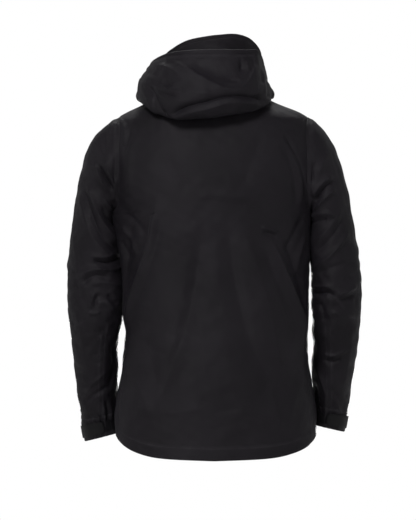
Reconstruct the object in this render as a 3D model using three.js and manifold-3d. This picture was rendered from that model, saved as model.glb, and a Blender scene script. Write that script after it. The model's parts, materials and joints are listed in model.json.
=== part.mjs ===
// Hardshell jacket, as worn: a waterproof shell with a stand collar, a stowed hood, set-in articulated sleeves,
// a full-length front zip, two hand pockets, hook-and-loop cuffs and a drawcord hem.
// Millimetres, +Z up, the front faces -Y, the wearer's left is +X. The origin is the middle of the neck base,
// level with the nape, where the wearer's or a hanger's shoulders carry the jacket.
import * as THREE from "three";
import { mergeVertices } from "three/addons/utils/BufferGeometryUtils.js";
import Module from "manifold-3d";

const wasm = await Module();
wasm.setup();

// ---------------------------------------------------------------- driving dimensions
const FABRIC = 2.0; // shell thickness, face fabric + membrane + backer + seam tape
const GAP = 0.4; // gap kept between neighbouring pieces
const ZIP_TOP = 78; // height of the zip's upper end
const ZIP_HEM = -706; // height of the zip's lower end
const ZIP_Y0 = -104; // y of the zip line at ZIP_TOP
const ZIP_SLOPE = 0.0542; // the zip line leans forward by this much per mm of drop
const ARMPIT = -245; // height of the armpit point
const ARM_TOP = -47; // height where the shoulder seam meets the sleeve
const ARM_X = { L: 198, R: 193 }; // the armhole's plane
const PANEL_EDGE = 9; // half the gap between the two front edges

// ---------------------------------------------------------------- curves
// Cubic Hermite interpolation through [key, value] rows.
function curve(T, x) {
  const n = T.length;
  if (x <= T[0][0]) return T[0][1];
  if (x >= T[n - 1][0]) return T[n - 1][1];
  let i = 0;
  while (x > T[i + 1][0]) i++;
  const m = (k) => {
    if (k === 0) return (T[1][1] - T[0][1]) / (T[1][0] - T[0][0]);
    if (k === n - 1)
      return (T[n - 1][1] - T[n - 2][1]) / (T[n - 1][0] - T[n - 2][0]);
    return (T[k + 1][1] - T[k - 1][1]) / (T[k + 1][0] - T[k - 1][0]);
  };
  const h = T[i + 1][0] - T[i][0],
    t = (x - T[i][0]) / h,
    a = T[i][1],
    b = T[i + 1][1];
  const t2 = t * t,
    t3 = t2 * t;
  return (
    (2 * t3 - 3 * t2 + 1) * a +
    (t3 - 2 * t2 + t) * h * m(i) +
    (-2 * t3 + 3 * t2) * b +
    (t3 - t2) * h * m(i + 1)
  );
}
const lerp = (a, b, t) => a + (b - a) * t;
const RAD = Math.PI / 180;

// Half-width of the body at each height, left and right. Between the armpit and the shoulder it runs on past the
// armhole's plane, which cuts it off.
const HALF_L = [
  [-770, 205], [-700, 204.5], [-666, 205], [-634, 203], [-603, 197.5], [-572, 192], [-539, 189], [-505, 185.5],
  [-472, 182], [-439, 179.5], [-406, 179.5], [-372, 181.5], [-339, 186], [-308, 192], [-281, 197.5], [-260, 201],
  [-245, 203], [-215, 212], [-180, 222], [-140, 228], [-100, 226], [-72, 216], [-50, 202], [-38, 183], [-25, 156],
  [-16, 139], [-8, 122], [0, 108], [8, 97], [14, 91], [20, 87], [30, 82], [40, 78],
];
const HALF_R = [
  [-770, 213], [-697, 213], [-666, 212], [-634, 208.5], [-603, 203.5], [-572, 199], [-539, 195.5], [-505, 195],
  [-472, 196], [-439, 197.5], [-406, 197.5], [-372, 196.5], [-339, 195], [-308, 195.5], [-281, 196.5], [-260, 197.5],
  [-245, 198], [-215, 207], [-180, 217], [-140, 222], [-100, 219], [-72, 209], [-50, 196], [-38, 174], [-25, 144],
  [-16, 126], [-8, 112], [0, 101], [8, 93], [14, 88], [20, 85], [30, 81], [40, 78],
];
const BACK_Y = [
  [-770, 152], [-650, 148], [-500, 140], [-400, 136], [-300, 139], [-200, 147], [-140, 147], [-100, 141], [-60, 130],
  [-30, 117], [0, 100], [20, 88], [40, 76],
];
const MID_Y = [
  [-770, 0], [-245, 5], [-100, 8], [-47, 9], [0, 0], [20, -8], [40, -13],
];
const POWER = [
  [-770, 2.5], [-400, 2.4], [-245, 2.4], [-100, 2.25], [-30, 2.15], [40, 2.1],
];
// Height of the hem and of the neckline seam, by degrees from the middle of the back.
const HEM_Z = [
  [0, -757], [30, -751], [50, -739], [70, -721], [85, -706], [100, -700], [120, -700], [150, -708], [180, -712],
];
const NECK_Z = [
  [0, 35], [45, 28], [90, 14], [120, 0], [150, -18], [180, -25],
];
const COLLAR_L = [
  [0, 123], [30, 113], [60, 94], [90, 81], [120, 78], [180, 78],
];
const COLLAR_R = [
  [0, 123], [25, 126], [45, 119], [60, 107], [75, 94], [90, 83], [120, 78], [180, 78],
];

const zipY = (z) => ZIP_Y0 - (ZIP_TOP - z) * ZIP_SLOPE;
const halfWidth = (side, z) => curve(side > 0 ? HALF_L : HALF_R, z);
const fromBack = (th) => Math.abs(((((th - 90) % 360) + 540) % 360) - 180);

// A point of the body's surface. th is in degrees: 0 is the wearer's left side, 90 the middle of the back, 180 the
// right side and -90 (or 270) the zip.
function bodyPoint(th, z) {
  const c = Math.cos(th * RAD),
    s = Math.sin(th * RAD),
    n = curve(POWER, z),
    cy = curve(MID_Y, z);
  const A = halfWidth(c >= 0 ? 1 : -1, z),
    B = s >= 0 ? curve(BACK_Y, z) - cy : cy - zipY(z);
  return new THREE.Vector3(
    A * Math.sign(c) * Math.pow(Math.abs(c), 2 / n),
    cy + B * Math.sign(s) * Math.pow(Math.abs(s), 2 / n),
    z,
  );
}
// The angle, 0 to 90, at which the body meets the armhole's plane.
function armAngle(side, z) {
  const A = halfWidth(side, z),
    x = side > 0 ? ARM_X.L : ARM_X.R;
  if (z < ARMPIT || z > ARM_TOP || A <= x) return 0;
  return Math.acos(Math.min(1, Math.pow(x / A, curve(POWER, z) / 2))) / RAD;
}
const hemZ = (th) => curve(HEM_Z, fromBack(th));
const neckZ = (th) => curve(NECK_Z, fromBack(th));

// Rows of the body: heights that follow the hem at the bottom and the neckline at the top.
const ROWS = [
  -757, -700, -640, -570, -490, -410, -330, -275, -246, -215, -175, -135, -100, -72, -56, -47.6, -36, -20, -3, 14,
];
function rowZ(th, row) {
  const i = Math.min(ROWS.length - 2, Math.floor(row)),
    z = lerp(ROWS[i], ROWS[i + 1], row - i);
  const low = Math.max(0, Math.min(1, (-560 - z) / 197)),
    high = Math.max(0, Math.min(1, (z + 60) / 74));
  return (
    z +
    low * low * (3 - 2 * low) * (hemZ(th) + 757) +
    high * high * (3 - 2 * high) * (neckZ(th) - 14)
  );
}

// ---------------------------------------------------------------- solids from grids
// A closed sheet: outer(u, v) over a grid, with its inner face the given thickness below it. wrap closes it round u.
function sheet(outer, us, vs, thick, { wrap = false, lift = 0 } = {}) {
  const nu = us.length,
    nv = vs.length,
    e = 1e-3;
  const uLo = us[0],
    uHi = us[nu - 1],
    vLo = vs[0],
    vHi = vs[nv - 1];
  const normal = (u, v) => {
    const period = uHi - uLo;
    const u0 = wrap ? u - e * period : Math.max(uLo, u - e * period),
      u1 = wrap ? u + e * period : Math.min(uHi, u + e * period);
    const v0 = Math.max(vLo, v - e * (vHi - vLo)),
      v1 = Math.min(vHi, v + e * (vHi - vLo));
    const a = outer(u1, v).sub(outer(u0, v)),
      b = outer(u, v1).sub(outer(u, v0));
    return a.cross(b).normalize();
  };
  const top = [],
    low = [];
  const cols = wrap ? nu - 1 : nu;
  for (let j = 0; j < nv; j++)
    for (let i = 0; i < cols; i++) {
      const p = outer(us[i], vs[j]),
        n = normal(us[i], vs[j]);
      top.push(p.clone().addScaledVector(n, lift));
      low.push(p.clone().addScaledVector(n, lift - thick));
    }
  const all = [...top, ...low],
    N = top.length,
    tri = [];
  const at = (i, j) => j * cols + (wrap ? i % cols : i);
  const quad = (a, b, c, d) => tri.push(a, b, c, a, c, d);
  const lastU = wrap ? cols : cols - 1;
  for (let j = 0; j < nv - 1; j++)
    for (let i = 0; i < lastU; i++) {
      const a = at(i, j),
        b = at(i + 1, j),
        c = at(i + 1, j + 1),
        d = at(i, j + 1);
      quad(a, b, c, d);
      quad(N + a, N + d, N + c, N + b);
    }
  for (let i = 0; i < lastU; i++) {
    const a = at(i, 0),
      b = at(i + 1, 0),
      c = at(i, nv - 1),
      d = at(i + 1, nv - 1);
    quad(b, a, N + a, N + b);
    quad(c, d, N + d, N + c);
  }
  if (!wrap)
    for (let j = 0; j < nv - 1; j++) {
      const a = at(0, j),
        b = at(0, j + 1),
        c = at(cols - 1, j),
        d = at(cols - 1, j + 1);
      quad(a, b, N + b, N + a);
      quad(d, c, N + c, N + d);
    }
  const g = new THREE.BufferGeometry();
  g.setAttribute(
    "position",
    new THREE.Float32BufferAttribute(
      all.flatMap((p) => [p.x, p.y, p.z]),
      3,
    ),
  );
  g.setIndex(tri);
  return facingOut(g);
}
function volumeOf(g) {
  const p = g.getAttribute("position"),
    ix = g.index.array;
  let v = 0;
  const a = new THREE.Vector3(),
    b = new THREE.Vector3(),
    c = new THREE.Vector3();
  for (let i = 0; i < ix.length; i += 3) {
    a.fromBufferAttribute(p, ix[i]);
    b.fromBufferAttribute(p, ix[i + 1]);
    c.fromBufferAttribute(p, ix[i + 2]);
    v += a.dot(b.cross(c)) / 6;
  }
  return v;
}
function facingOut(g) {
  if (volumeOf(g) < 0) {
    const ix = g.index.array;
    for (let i = 0; i < ix.length; i += 3)
      [ix[i + 1], ix[i + 2]] = [ix[i + 2], ix[i + 1]];
  }
  return g;
}
const steps = (a, b, n) =>
  Array.from({ length: n + 1 }, (_, i) => lerp(a, b, i / n));

// Booleans on geometries.
function solid(g) {
  const bare = new THREE.BufferGeometry();
  const flat = g.index ? g.toNonIndexed() : g;
  bare.setAttribute("position", flat.getAttribute("position"));
  const m = mergeVertices(bare, 1e-4);
  return new wasm.Manifold(
    new wasm.Mesh({
      numProp: 3,
      vertProperties: new Float32Array(m.attributes.position.array),
      triVerts: new Uint32Array(m.index.array),
    }),
  );
}
function geometryOf(s) {
  const m = s.getMesh(),
    n = m.numProp,
    v = new Float32Array(m.numVert * 3);
  for (let i = 0; i < m.numVert; i++)
    v.set(m.vertProperties.subarray(i * n, i * n + 3), i * 3);
  const g = new THREE.BufferGeometry();
  g.setAttribute("position", new THREE.BufferAttribute(v, 3));
  g.setIndex(Array.from(m.triVerts));
  return g;
}
const join = (...gs) =>
  geometryOf(gs.map(solid).reduce((a, b) => a.add(b)));
const cut = (g, ...tools) =>
  geometryOf(tools.map(solid).reduce((a, b) => a.subtract(b), solid(g)));
const box = (x, y, z, w, d, h) =>
  new THREE.BoxGeometry(w, d, h).translate(x, y, z);

// ---------------------------------------------------------------- the scene graph
const jacket = new THREE.Group();
const FINISH = {
  shell: { color: 0x1c1b1f, roughness: 0.72, metalness: 0 },
  lining: { color: 0x2a2a2e, roughness: 0.9, metalness: 0 },
  tape: { color: 0x141416, roughness: 0.8, metalness: 0 },
  moulded: { color: 0x0f0f11, roughness: 0.45, metalness: 0 },
  metal: { color: 0x1a1a1c, roughness: 0.4, metalness: 0.8 },
  cord: { color: 0x18181a, roughness: 0.85, metalness: 0 },
};
function add(parent, name, geometry, finish) {
  const mesh = new THREE.Mesh(
    geometry,
    new THREE.MeshStandardMaterial(FINISH[finish]),
  );
  mesh.name = name;
  parent.add(mesh);
  return mesh;
}

// ---------------------------------------------------------------- body panels
const lastRow = ROWS.length - 1;
const armRow = ROWS.indexOf(-246);
// The edge angle of the panel next to the armhole or the side panel, at a row.
const SIDE_BACK = [[0, 17], [armRow, 6], [lastRow, 6]];
function edgeAngle(side, front, row) {
  if (row <= armRow) return curve(SIDE_BACK, row) + 0.12;
  let a = 5;
  for (let k = 0; k < 12; k++) {
    const th = side > 0 ? (front ? -a : a) : front ? 180 + a : 180 - a;
    a = 0.5 * (a + armAngle(side, rowZ(th, row)));
  }
  return Math.max(a, 0.12);
}
function backOuter(u, row) {
  const l = edgeAngle(1, false, row),
    r = 180 - edgeAngle(-1, false, row),
    th = lerp(l, r, u);
  return bodyPoint(th, rowZ(th, row));
}
add(
  jacket,
  "back_panel",
  sheet(backOuter, steps(0, 1, 18), steps(0, lastRow, lastRow), FABRIC),
  "shell",
);
function sidePanel(side) {
  const mid = side > 0 ? 0 : 180;
  return (u, row) => {
    const half = curve(SIDE_BACK, row) - 0.12;
    const th = mid + lerp(-half, half, u);
    return bodyPoint(th, rowZ(mid, row) + (hemZ(th) - hemZ(mid)) * (row < 2 ? 1 - row / 2 : 0));
  };
}
for (const [name, side] of [["left", 1], ["right", -1]]) {
  const f = sidePanel(side);
  add(
    jacket,
    name + "_side_panel",
    sheet(f, steps(0, 1, 3), steps(0, armRow - 0.12, armRow), FABRIC),
    "shell",
  );
}
// A front panel runs from the side or armhole edge to the zip. Its zip edge is straight.
function frontOuter(side) {
  return (u, row) => {
    const mid = side > 0 ? 0 : 180,
      edge = -edgeAngle(side, true, row);
    const z0 = rowZ(-90, row);
    const n = curve(POWER, z0),
      A = halfWidth(side, z0);
    const atZip = -90 + Math.asin(Math.pow(PANEL_EDGE / A, n / 2)) / RAD;
    const t = lerp(edge, atZip, u),
      th = side > 0 ? t : 180 - t;
    return bodyPoint(th, rowZ(th, row));
  };
}
for (const [name, side] of [["left", 1], ["right", -1]])
  add(
    jacket,
    name + "_front_panel",
    sheet(frontOuter(side), steps(0, 1, 9), steps(0, lastRow, lastRow), FABRIC),
    "shell",
  );

// ---------------------------------------------------------------- collar
function collarTop(th) {
  const c = Math.cos(th * RAD),
    s = Math.sin(th * RAD);
  const z = curve(c >= 0 ? COLLAR_L : COLLAR_R, fromBack(th));
  return new THREE.Vector3(
    2 + 101 * Math.sign(c) * Math.pow(Math.abs(c), 0.95),
    s >= 0 ? -18 + 84 * Math.pow(s, 0.95) : -18 - 86 * Math.pow(-s, 0.95),
    z,
  );
}
function collarOuter(th, v) {
  const p = bodyPoint(th, neckZ(th)),
    q = collarTop(th);
  p.z += 0.8;
  const bow = 5 * Math.sin(Math.PI * v) * (fromBack(th) < 150 ? 1 : (180 - fromBack(th)) / 30);
  const out = new THREE.Vector3(Math.cos(th * RAD), Math.sin(th * RAD), 0);
  const r = p.lerp(q, v);
  return r.addScaledVector(out, -bow);
}
const COLLAR_EDGE = 5.2; // degrees left open each side of the zip
add(
  jacket,
  "collar_shell",
  sheet(collarOuter, steps(-90 + COLLAR_EDGE, 270 - COLLAR_EDGE, 28), steps(0, 1, 4), FABRIC),
  "shell",
);
function collarInner(th, v) {
  const p = collarOuter(th, v),
    c = Math.cos(th * RAD),
    sn = Math.sin(th * RAD);
  return p.addScaledVector(new THREE.Vector3(c, sn, 0), -FABRIC - 1.6);
}
add(
  jacket,
  "collar_lining",
  sheet(collarInner, steps(-90 + COLLAR_EDGE + 3, 270 - COLLAR_EDGE - 3, 28), steps(0.06, 0.96, 3), 1.2),
  "lining",
);

// ---------------------------------------------------------------- sleeves
// Each ring of a sleeve runs between an inner and an outer point in the XZ plane: [inner x, inner z, outer x, outer z,
// middle y, half depth]. Ring 0 is the armhole and the last ring is the cuff's edge.
const RINGS = {
  L: [
    [204, -243, 199.7, -47, 11, 76], [206, -243.5, 222.5, -61, 10, 75], [209, -246.5, 244.5, -81, 9, 73.5],
    [210, -254, 262, -112, 7, 71], [208.5, -267, 274.5, -150, 5, 69], [205.5, -286, 284, -187, 3, 67],
    [201, -308, 290, -229, 1, 65.5], [195.5, -337, 296.5, -277, -1, 64], [190.5, -368, 301.5, -327, -3, 63],
    [187, -402, 305, -377, -5, 63], [187, -434, 305, -422, -8, 62], [191, -468, 302, -464, -14, 59.5],
    [196.5, -501, 297.5, -505, -21, 56], [199.5, -535, 293, -543, -30, 53], [199.5, -568, 289, -580, -40, 51],
    [200, -603, 284.5, -620, -50, 49], [200, -639, 280, -657, -60, 47.5], [199.5, -672, 275, -692, -69, 46],
    [196, -703, 269.5, -722, -76, 45],
  ],
  R: [
    [199.4, -243, 194.7, -47, 11, 76], [201.2, -243.5, 215, -61, 10, 75], [203.5, -246.5, 234, -81, 9, 73.5],
    [204.5, -254, 252, -112, 7, 71], [203.5, -267, 265.5, -150, 5, 69], [201, -286, 276, -187, 3, 67],
    [198.5, -308, 284, -229, 1, 65.5], [198.5, -337, 293, -277, -1, 64], [200, -364, 300, -322, -3, 63],
    [202.5, -394, 305, -366, -5, 63], [203.5, -425, 307, -408, -8, 62], [204.5, -458, 306.5, -449, -14, 59.5],
    [204.5, -491, 303.5, -489, -21, 56], [204, -524, 298.5, -527, -30, 53], [203, -556, 293.5, -563, -40, 51],
    [203.5, -590, 288, -601, -50, 49], [205, -625, 282.5, -638, -60, 47.5], [205.5, -657, 277.5, -672, -69, 46],
    [204, -686, 272, -702, -76, 45],
  ],
};
const RING_T = {};
for (const k of ["L", "R"])
  RING_T[k] = [0, 1, 2, 3, 4, 5].map((c) => RINGS[k].map((r, i) => [i, r[c]]));
// A point of a sleeve: phi in degrees, 0 at the inner side, 90 at the back, 180 at the outer side; s is the ring.
function sleevePoint(side, phi, s) {
  const T = RING_T[side > 0 ? "L" : "R"],
    [ix, iz, ox, oz, yc, d] = T.map((t) => curve(t, s));
  const c = -Math.cos(phi * RAD),
    sn = Math.sin(phi * RAD);
  const x = (ix + ox) / 2 + (c * (ox - ix)) / 2,
    z = (iz + oz) / 2 + (c * (oz - iz)) / 2;
  let y = yc + d * sn;
  const w = Math.max(0, 1 - s / 2.5);
  if (w > 0) {
    // the armhole's own outline, where the body meets the sleeve
    const zz = Math.max(ARMPIT, Math.min(ARM_TOP, -146 + 99 * c)),
      A = halfWidth(side, zz),
      n = curve(POWER, zz),
      cy = curve(MID_Y, zz),
      ax = side > 0 ? ARM_X.L : ARM_X.R;
    const k = A > ax ? Math.pow(1 - Math.pow(ax / A, n), 1 / n) : 0;
    const hole = cy + (sn >= 0 ? curve(BACK_Y, zz) - cy : -(cy - zipY(zz))) * k;
    y = lerp(y, hole, w * w * (3 - 2 * w));
  }
  return new THREE.Vector3(side * x, y, z);
}
const AROUND = 20;
const SLEEVE = [
  ["sleeve_head", 0, 5, 6, "shell"],
  ["upper_sleeve", 5.03, 8.4, 3, "shell"],
  ["elbow_panel", 8.43, 11.8, 3, "shell"],
  ["lower_sleeve", 11.83, 16.6, 4, "shell"],
  ["cuff_band", 16.63, 18, 2, "shell"],
];
for (const [name, side] of [["left", 1], ["right", -1]]) {
  for (const [part, a, b, n, finish] of SLEEVE)
    add(
      jacket,
      name + "_" + part,
      sheet((phi, s) => sleevePoint(side, phi, s), steps(0, 360, AROUND), steps(a, b, n), FABRIC, {
        wrap: true,
        lift: side > 0 ? 0 : FABRIC,
      }),
      finish,
    );
}


// ---------------------------------------------------------------- hood, hanging down the back
// Each row of the tables is [degrees round the neck, x, y, z]. A section of the hood runs from the neck seam out to
// the bottom fold, up past the fullest point to the rim, and over it into the pouch.
const HOOD_FOLD = [
  [-32, 104, -64, -1], [-16, 130, -38, -7], [0, 149, -4, -15], [15, 147, 48, -17], [30, 134, 90, -30], [60, 87, 136, -50],
  [90, 14, 147, -50], [120, -62, 135, -39], [150, -104, 94, -23], [165, -115, 52, -9], [180, -119, -4, -4],
  [198, -110, -44, -1], [212, -97, -62, 2],
];
const HOOD_FULL = [
  [-32, 112, -70, 12], [0, 156, -6, 22], [30, 148, 84, 18], [60, 92, 156, 0], [90, 14, 174, -4],
  [120, -64, 158, 0], [150, -112, 96, 8], [180, -125, -4, 10], [212, -102, -67, 8],
];
const HOOD_RIM = [
  [-32, 103, -62, 26], [0, 132, -8, 62], [30, 104, 72, 82], [60, 62, 112, 89], [90, 6, 122, 91],
  [120, -54, 112, 91], [150, -100, 66, 88], [180, -112, -8, 50], [212, -96, -60, 20],
];
const table3 = (T) => [1, 2, 3].map((k) => T.map((r) => [r[0], r[k]]));
const [FOLD3, FULL3, RIM3] = [HOOD_FOLD, HOOD_FULL, HOOD_RIM].map(table3);
const at3 = (T3, th) => new THREE.Vector3(...T3.map((t) => curve(t, th)));
function hoodSeam(th) {
  const p = bodyPoint(th, neckZ(th));
  return new THREE.Vector3(
    p.x + 5.5 * Math.cos(th * RAD),
    p.y + 5.5 * Math.sin(th * RAD),
    p.z + 5,
  );
}
// u: 0 the neck seam, 1 the bottom fold, 2 the fullest point, 3 the rim.
function hoodPoint(th, u) {
  const P = [hoodSeam(th), at3(FOLD3, th), at3(FULL3, th), at3(RIM3, th)];
  const k = (i) => [0, 1, 2].map((c) => P.map((p, j) => [j, p.getComponent(c)]))[i];
  const p = new THREE.Vector3(curve(k(0), u), curve(k(1), u), curve(k(2), u));
  return p;
}
const HOOD = [
  ["hood_left_panel", -32, 44.6, 6],
  ["hood_centre_panel", 45, 135, 8],
  ["hood_right_panel", 135.4, 212, 6],
];
for (const [name, a, b, n] of HOOD)
  add(
    jacket,
    name,
    sheet((v, u) => hoodPoint(v, u), steps(a, b, n), steps(1.1, 2.94, 6), FABRIC),
    "shell",
  );
add(
  jacket,
  "hood_neck_panel",
  sheet((v, u) => hoodPoint(v, u), steps(-32, 212, 24), steps(0, 0.98, 3), 1.4, { lift: 1.4 }),
  "lining",
);
// The brim's binding rolls over the rim of all three panels.
add(
  jacket,
  "hood_brim",
  sheet(
    (th, v) => {
      const p = at3(RIM3, th),
        c = Math.cos(th * RAD),
        sn = Math.sin(th * RAD),
        a = Math.PI * v;
      return new THREE.Vector3(
        p.x - c * (2.2 - 3.6 * Math.cos(a)),
        p.y - sn * (2.2 - 3.6 * Math.cos(a)),
        p.z + 0.4 + 3.6 * Math.sin(a) - (v > 0.5 ? (v - 0.5) * 24 : 0),
      );
    },
    steps(-32, 212, 26),
    steps(0, 1, 4),
    1.4,
  ),
  "shell",
);

// ---------------------------------------------------------------- main zip
// A frame on the zip line: local x is the jacket's x, local y points into the jacket, local z runs up the zip.
const zipDir = new THREE.Vector3(0, ZIP_SLOPE, 1).normalize();
const zipIn = new THREE.Vector3(0, 1, -ZIP_SLOPE).normalize();
const zipFrame = new THREE.Group();
zipFrame.matrixAutoUpdate = false;
zipFrame.matrix.makeBasis(new THREE.Vector3(1, 0, 0), zipIn, zipDir).setPosition(0, zipY(ZIP_HEM), ZIP_HEM);
jacket.add(zipFrame);
const ZIP_LENGTH = (ZIP_TOP - ZIP_HEM) / zipDir.z;
const SLIDER_AT = ZIP_LENGTH - 34;
for (const [name, side] of [["left", 1], ["right", -1]]) {
  add(zipFrame, "main_zip_tape_" + name, box(side * 4.35, 1, ZIP_LENGTH / 2 + 7, 7.9, 0.8, ZIP_LENGTH - 18), "tape");
  add(zipFrame, "main_zip_teeth_" + name, box(side * 1.75, 3, ZIP_LENGTH / 2 + 7, 2.7, 2.2, ZIP_LENGTH - 18), "moulded");
}
// The retainer box, with the bore that the insertion pin drops into.
const retainer = cut(
  join(box(0, 2.2, 8, 11, 5.2, 13), box(0, -0.8, 8, 8, 1.4, 9)),
  box(2.4, 2.8, 10, 2.8, 2.8, 12),
);
add(zipFrame, "main_zip_retainer_box", retainer, "moulded");
add(zipFrame, "main_zip_insertion_pin", box(2.4, 2.8, 10.4, 2, 2, 10.6), "moulded");
// A slider: a front and a back plate, joined by the wedge that parts the teeth, with a bridge for the pull.
function sliderGeometry(w, h, back) {
  const bridge = cut(box(0, -3.4, 0, 2.6, 3.4, h * 0.7), box(0, -3.3, 0, 3.2, 1.8, h * 0.42));
  return join(
    box(0, -0.9, 0, w, 2, h),
    box(0, back + 0.9, 0, w, 1.4, h),
    box(0, (back + 0.3) / 2, h * 0.24, 0.36, back + 1.8, h * 0.4),
    bridge,
  );
}
// A pull: a loop that passes through the bridge and a moulded tab that hangs from it.
function pullGeometry(w, length, thick) {
  const tab = cut(
    join(box(0, 0, -length / 2 - 7, w, thick, length), box(0, 0, -length * 0.82 - 4, w * 1.25, thick * 1.3, length * 0.3)),
    box(0, 0, -10, w * 0.4, thick * 3, 2.4),
  );
  return join(box(0, 0, 0.1, 4.6, 1, 1.1), box(2.9, 0, -3.4, 1.2, 1, 8), box(-2.9, 0, -3.4, 1.2, 1, 8), box(0, 0, -7, 6.8, 1, 1.4), tab);
}
add(zipFrame, "main_zip_slider", sliderGeometry(8.4, 12, 4.6).translate(0, 0, SLIDER_AT), "metal");
add(zipFrame, "main_zip_pull", pullGeometry(7, 34, 1.6).translate(0, -3.3, SLIDER_AT + 1.2), "moulded");
// The garage folds over the top of the zip, in front of the slider's upper end.
add(
  zipFrame,
  "zip_garage",
  cut(box(0, -3.6, ZIP_LENGTH - 8, 26, 5.8, 15), box(0, -1.6, ZIP_LENGTH - 9.6, 22, 7, 15)),
  "shell",
);
// The storm flap backs the zip from hem to collar.
add(zipFrame, "storm_flap", box(0, 8.6, ZIP_LENGTH / 2 + 2, 34, 1.2, ZIP_LENGTH - 8), "lining");

// ---------------------------------------------------------------- hem facing and drawcord
const HEM_EDGE = 6.6;
function insetBody(th, z, depth) {
  const e = 0.4;
  const p = bodyPoint(th, z),
    t = bodyPoint(th + e, z).sub(bodyPoint(th - e, z)),
    u = bodyPoint(th, z + 2).sub(bodyPoint(th, z - 2));
  return p.addScaledVector(t.cross(u).normalize(), -depth);
}
add(
  jacket,
  "hem_facing",
  sheet((th, v) => insetBody(th, hemZ(th) + 1.5 + 25 * v, 7.6), steps(-90 + HEM_EDGE, 270 - HEM_EDGE, 40), [0, 1], 1.2),
  "lining",
);
class HemPath extends THREE.Curve {
  getPoint(t, target = new THREE.Vector3()) {
    const th = lerp(-90 + 22, 270 - 22, t);
    return target.copy(insetBody(th, hemZ(th) + 11, 4.9));
  }
}
const disc = (r, n) =>
  new THREE.Shape(Array.from({ length: n }, (_, i) => new THREE.Vector2(r * Math.cos((2 * Math.PI * i) / n), r * Math.sin((2 * Math.PI * i) / n))));
add(
  jacket,
  "hem_drawcord",
  mergeBare(new THREE.ExtrudeGeometry(disc(1.4, 8), { steps: 64, extrudePath: new HemPath() })),
  "cord",
);
function mergeBare(g) {
  const bare = new THREE.BufferGeometry();
  bare.setAttribute("position", (g.index ? g.toNonIndexed() : g).getAttribute("position"));
  return mergeVertices(bare, 1e-4);
}

// ---------------------------------------------------------------- frames on the body's surface
// Local z points out of the fabric, local y up along it.
function surfaceFrame(th, z, out) {
  const e = 0.4;
  const p = bodyPoint(th, z),
    t = bodyPoint(th + e, z).sub(bodyPoint(th - e, z)).normalize(),
    u = bodyPoint(th, z + 2).sub(bodyPoint(th, z - 2)).normalize();
  const n = t.clone().cross(u).normalize(),
    x = u.clone().cross(n).normalize();
  const g = new THREE.Group();
  g.matrixAutoUpdate = false;
  g.matrix.makeBasis(x, u, n).setPosition(p.addScaledVector(n, out));
  return g;
}

// ---------------------------------------------------------------- cord locks
function lockBarrel() {
  // a closed barrel with a blind bore for the button, and the cord's cross hole left to the button
  const profile = [[0, 0], [6, 0], [6.4, 1], [6.4, 13], [5.8, 14], [4.2, 14], [4.2, 5], [0, 5]].map(([r, y]) => new THREE.Vector2(r, y));
  return mergeBare(new THREE.LatheGeometry(profile, 16));
}
function lockButton() {
  const profile = [[0, 9], [3.8, 9], [3.8, 17.4], [3.2, 18], [0, 18]].map(([r, y]) => new THREE.Vector2(r, y));
  return mergeBare(new THREE.LatheGeometry(profile, 16));
}
for (const [name, th] of [["hem_left", -38], ["hem_right", 218]]) {
  const f = surfaceFrame(th, hemZ(th) + 13, 9.2);
  jacket.add(f);
  add(f, name + "_cord_lock", facingOut(lockBarrel()), "moulded");
  add(f, name + "_lock_button", facingOut(lockButton()), "moulded");
}
for (const [name, th] of [["hood_left", -58], ["hood_right", 238]]) {
  const p = collarOuter(th, 0.36),
    q = collarOuter(th, 0.5),
    r = collarOuter(th + 1, 0.36),
    up = q.clone().sub(p).normalize();
  const n = r.clone().sub(p).cross(up).normalize(),
    x = up.clone().cross(n).normalize();
  const f = new THREE.Group();
  f.matrixAutoUpdate = false;
  f.matrix.makeBasis(x, up, n).setPosition(p.clone().addScaledVector(n, 7.4));
  jacket.add(f);
  add(f, name + "_cord_lock", facingOut(lockBarrel()), "moulded");
  add(f, name + "_lock_button", facingOut(lockButton()), "moulded");
}

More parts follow.
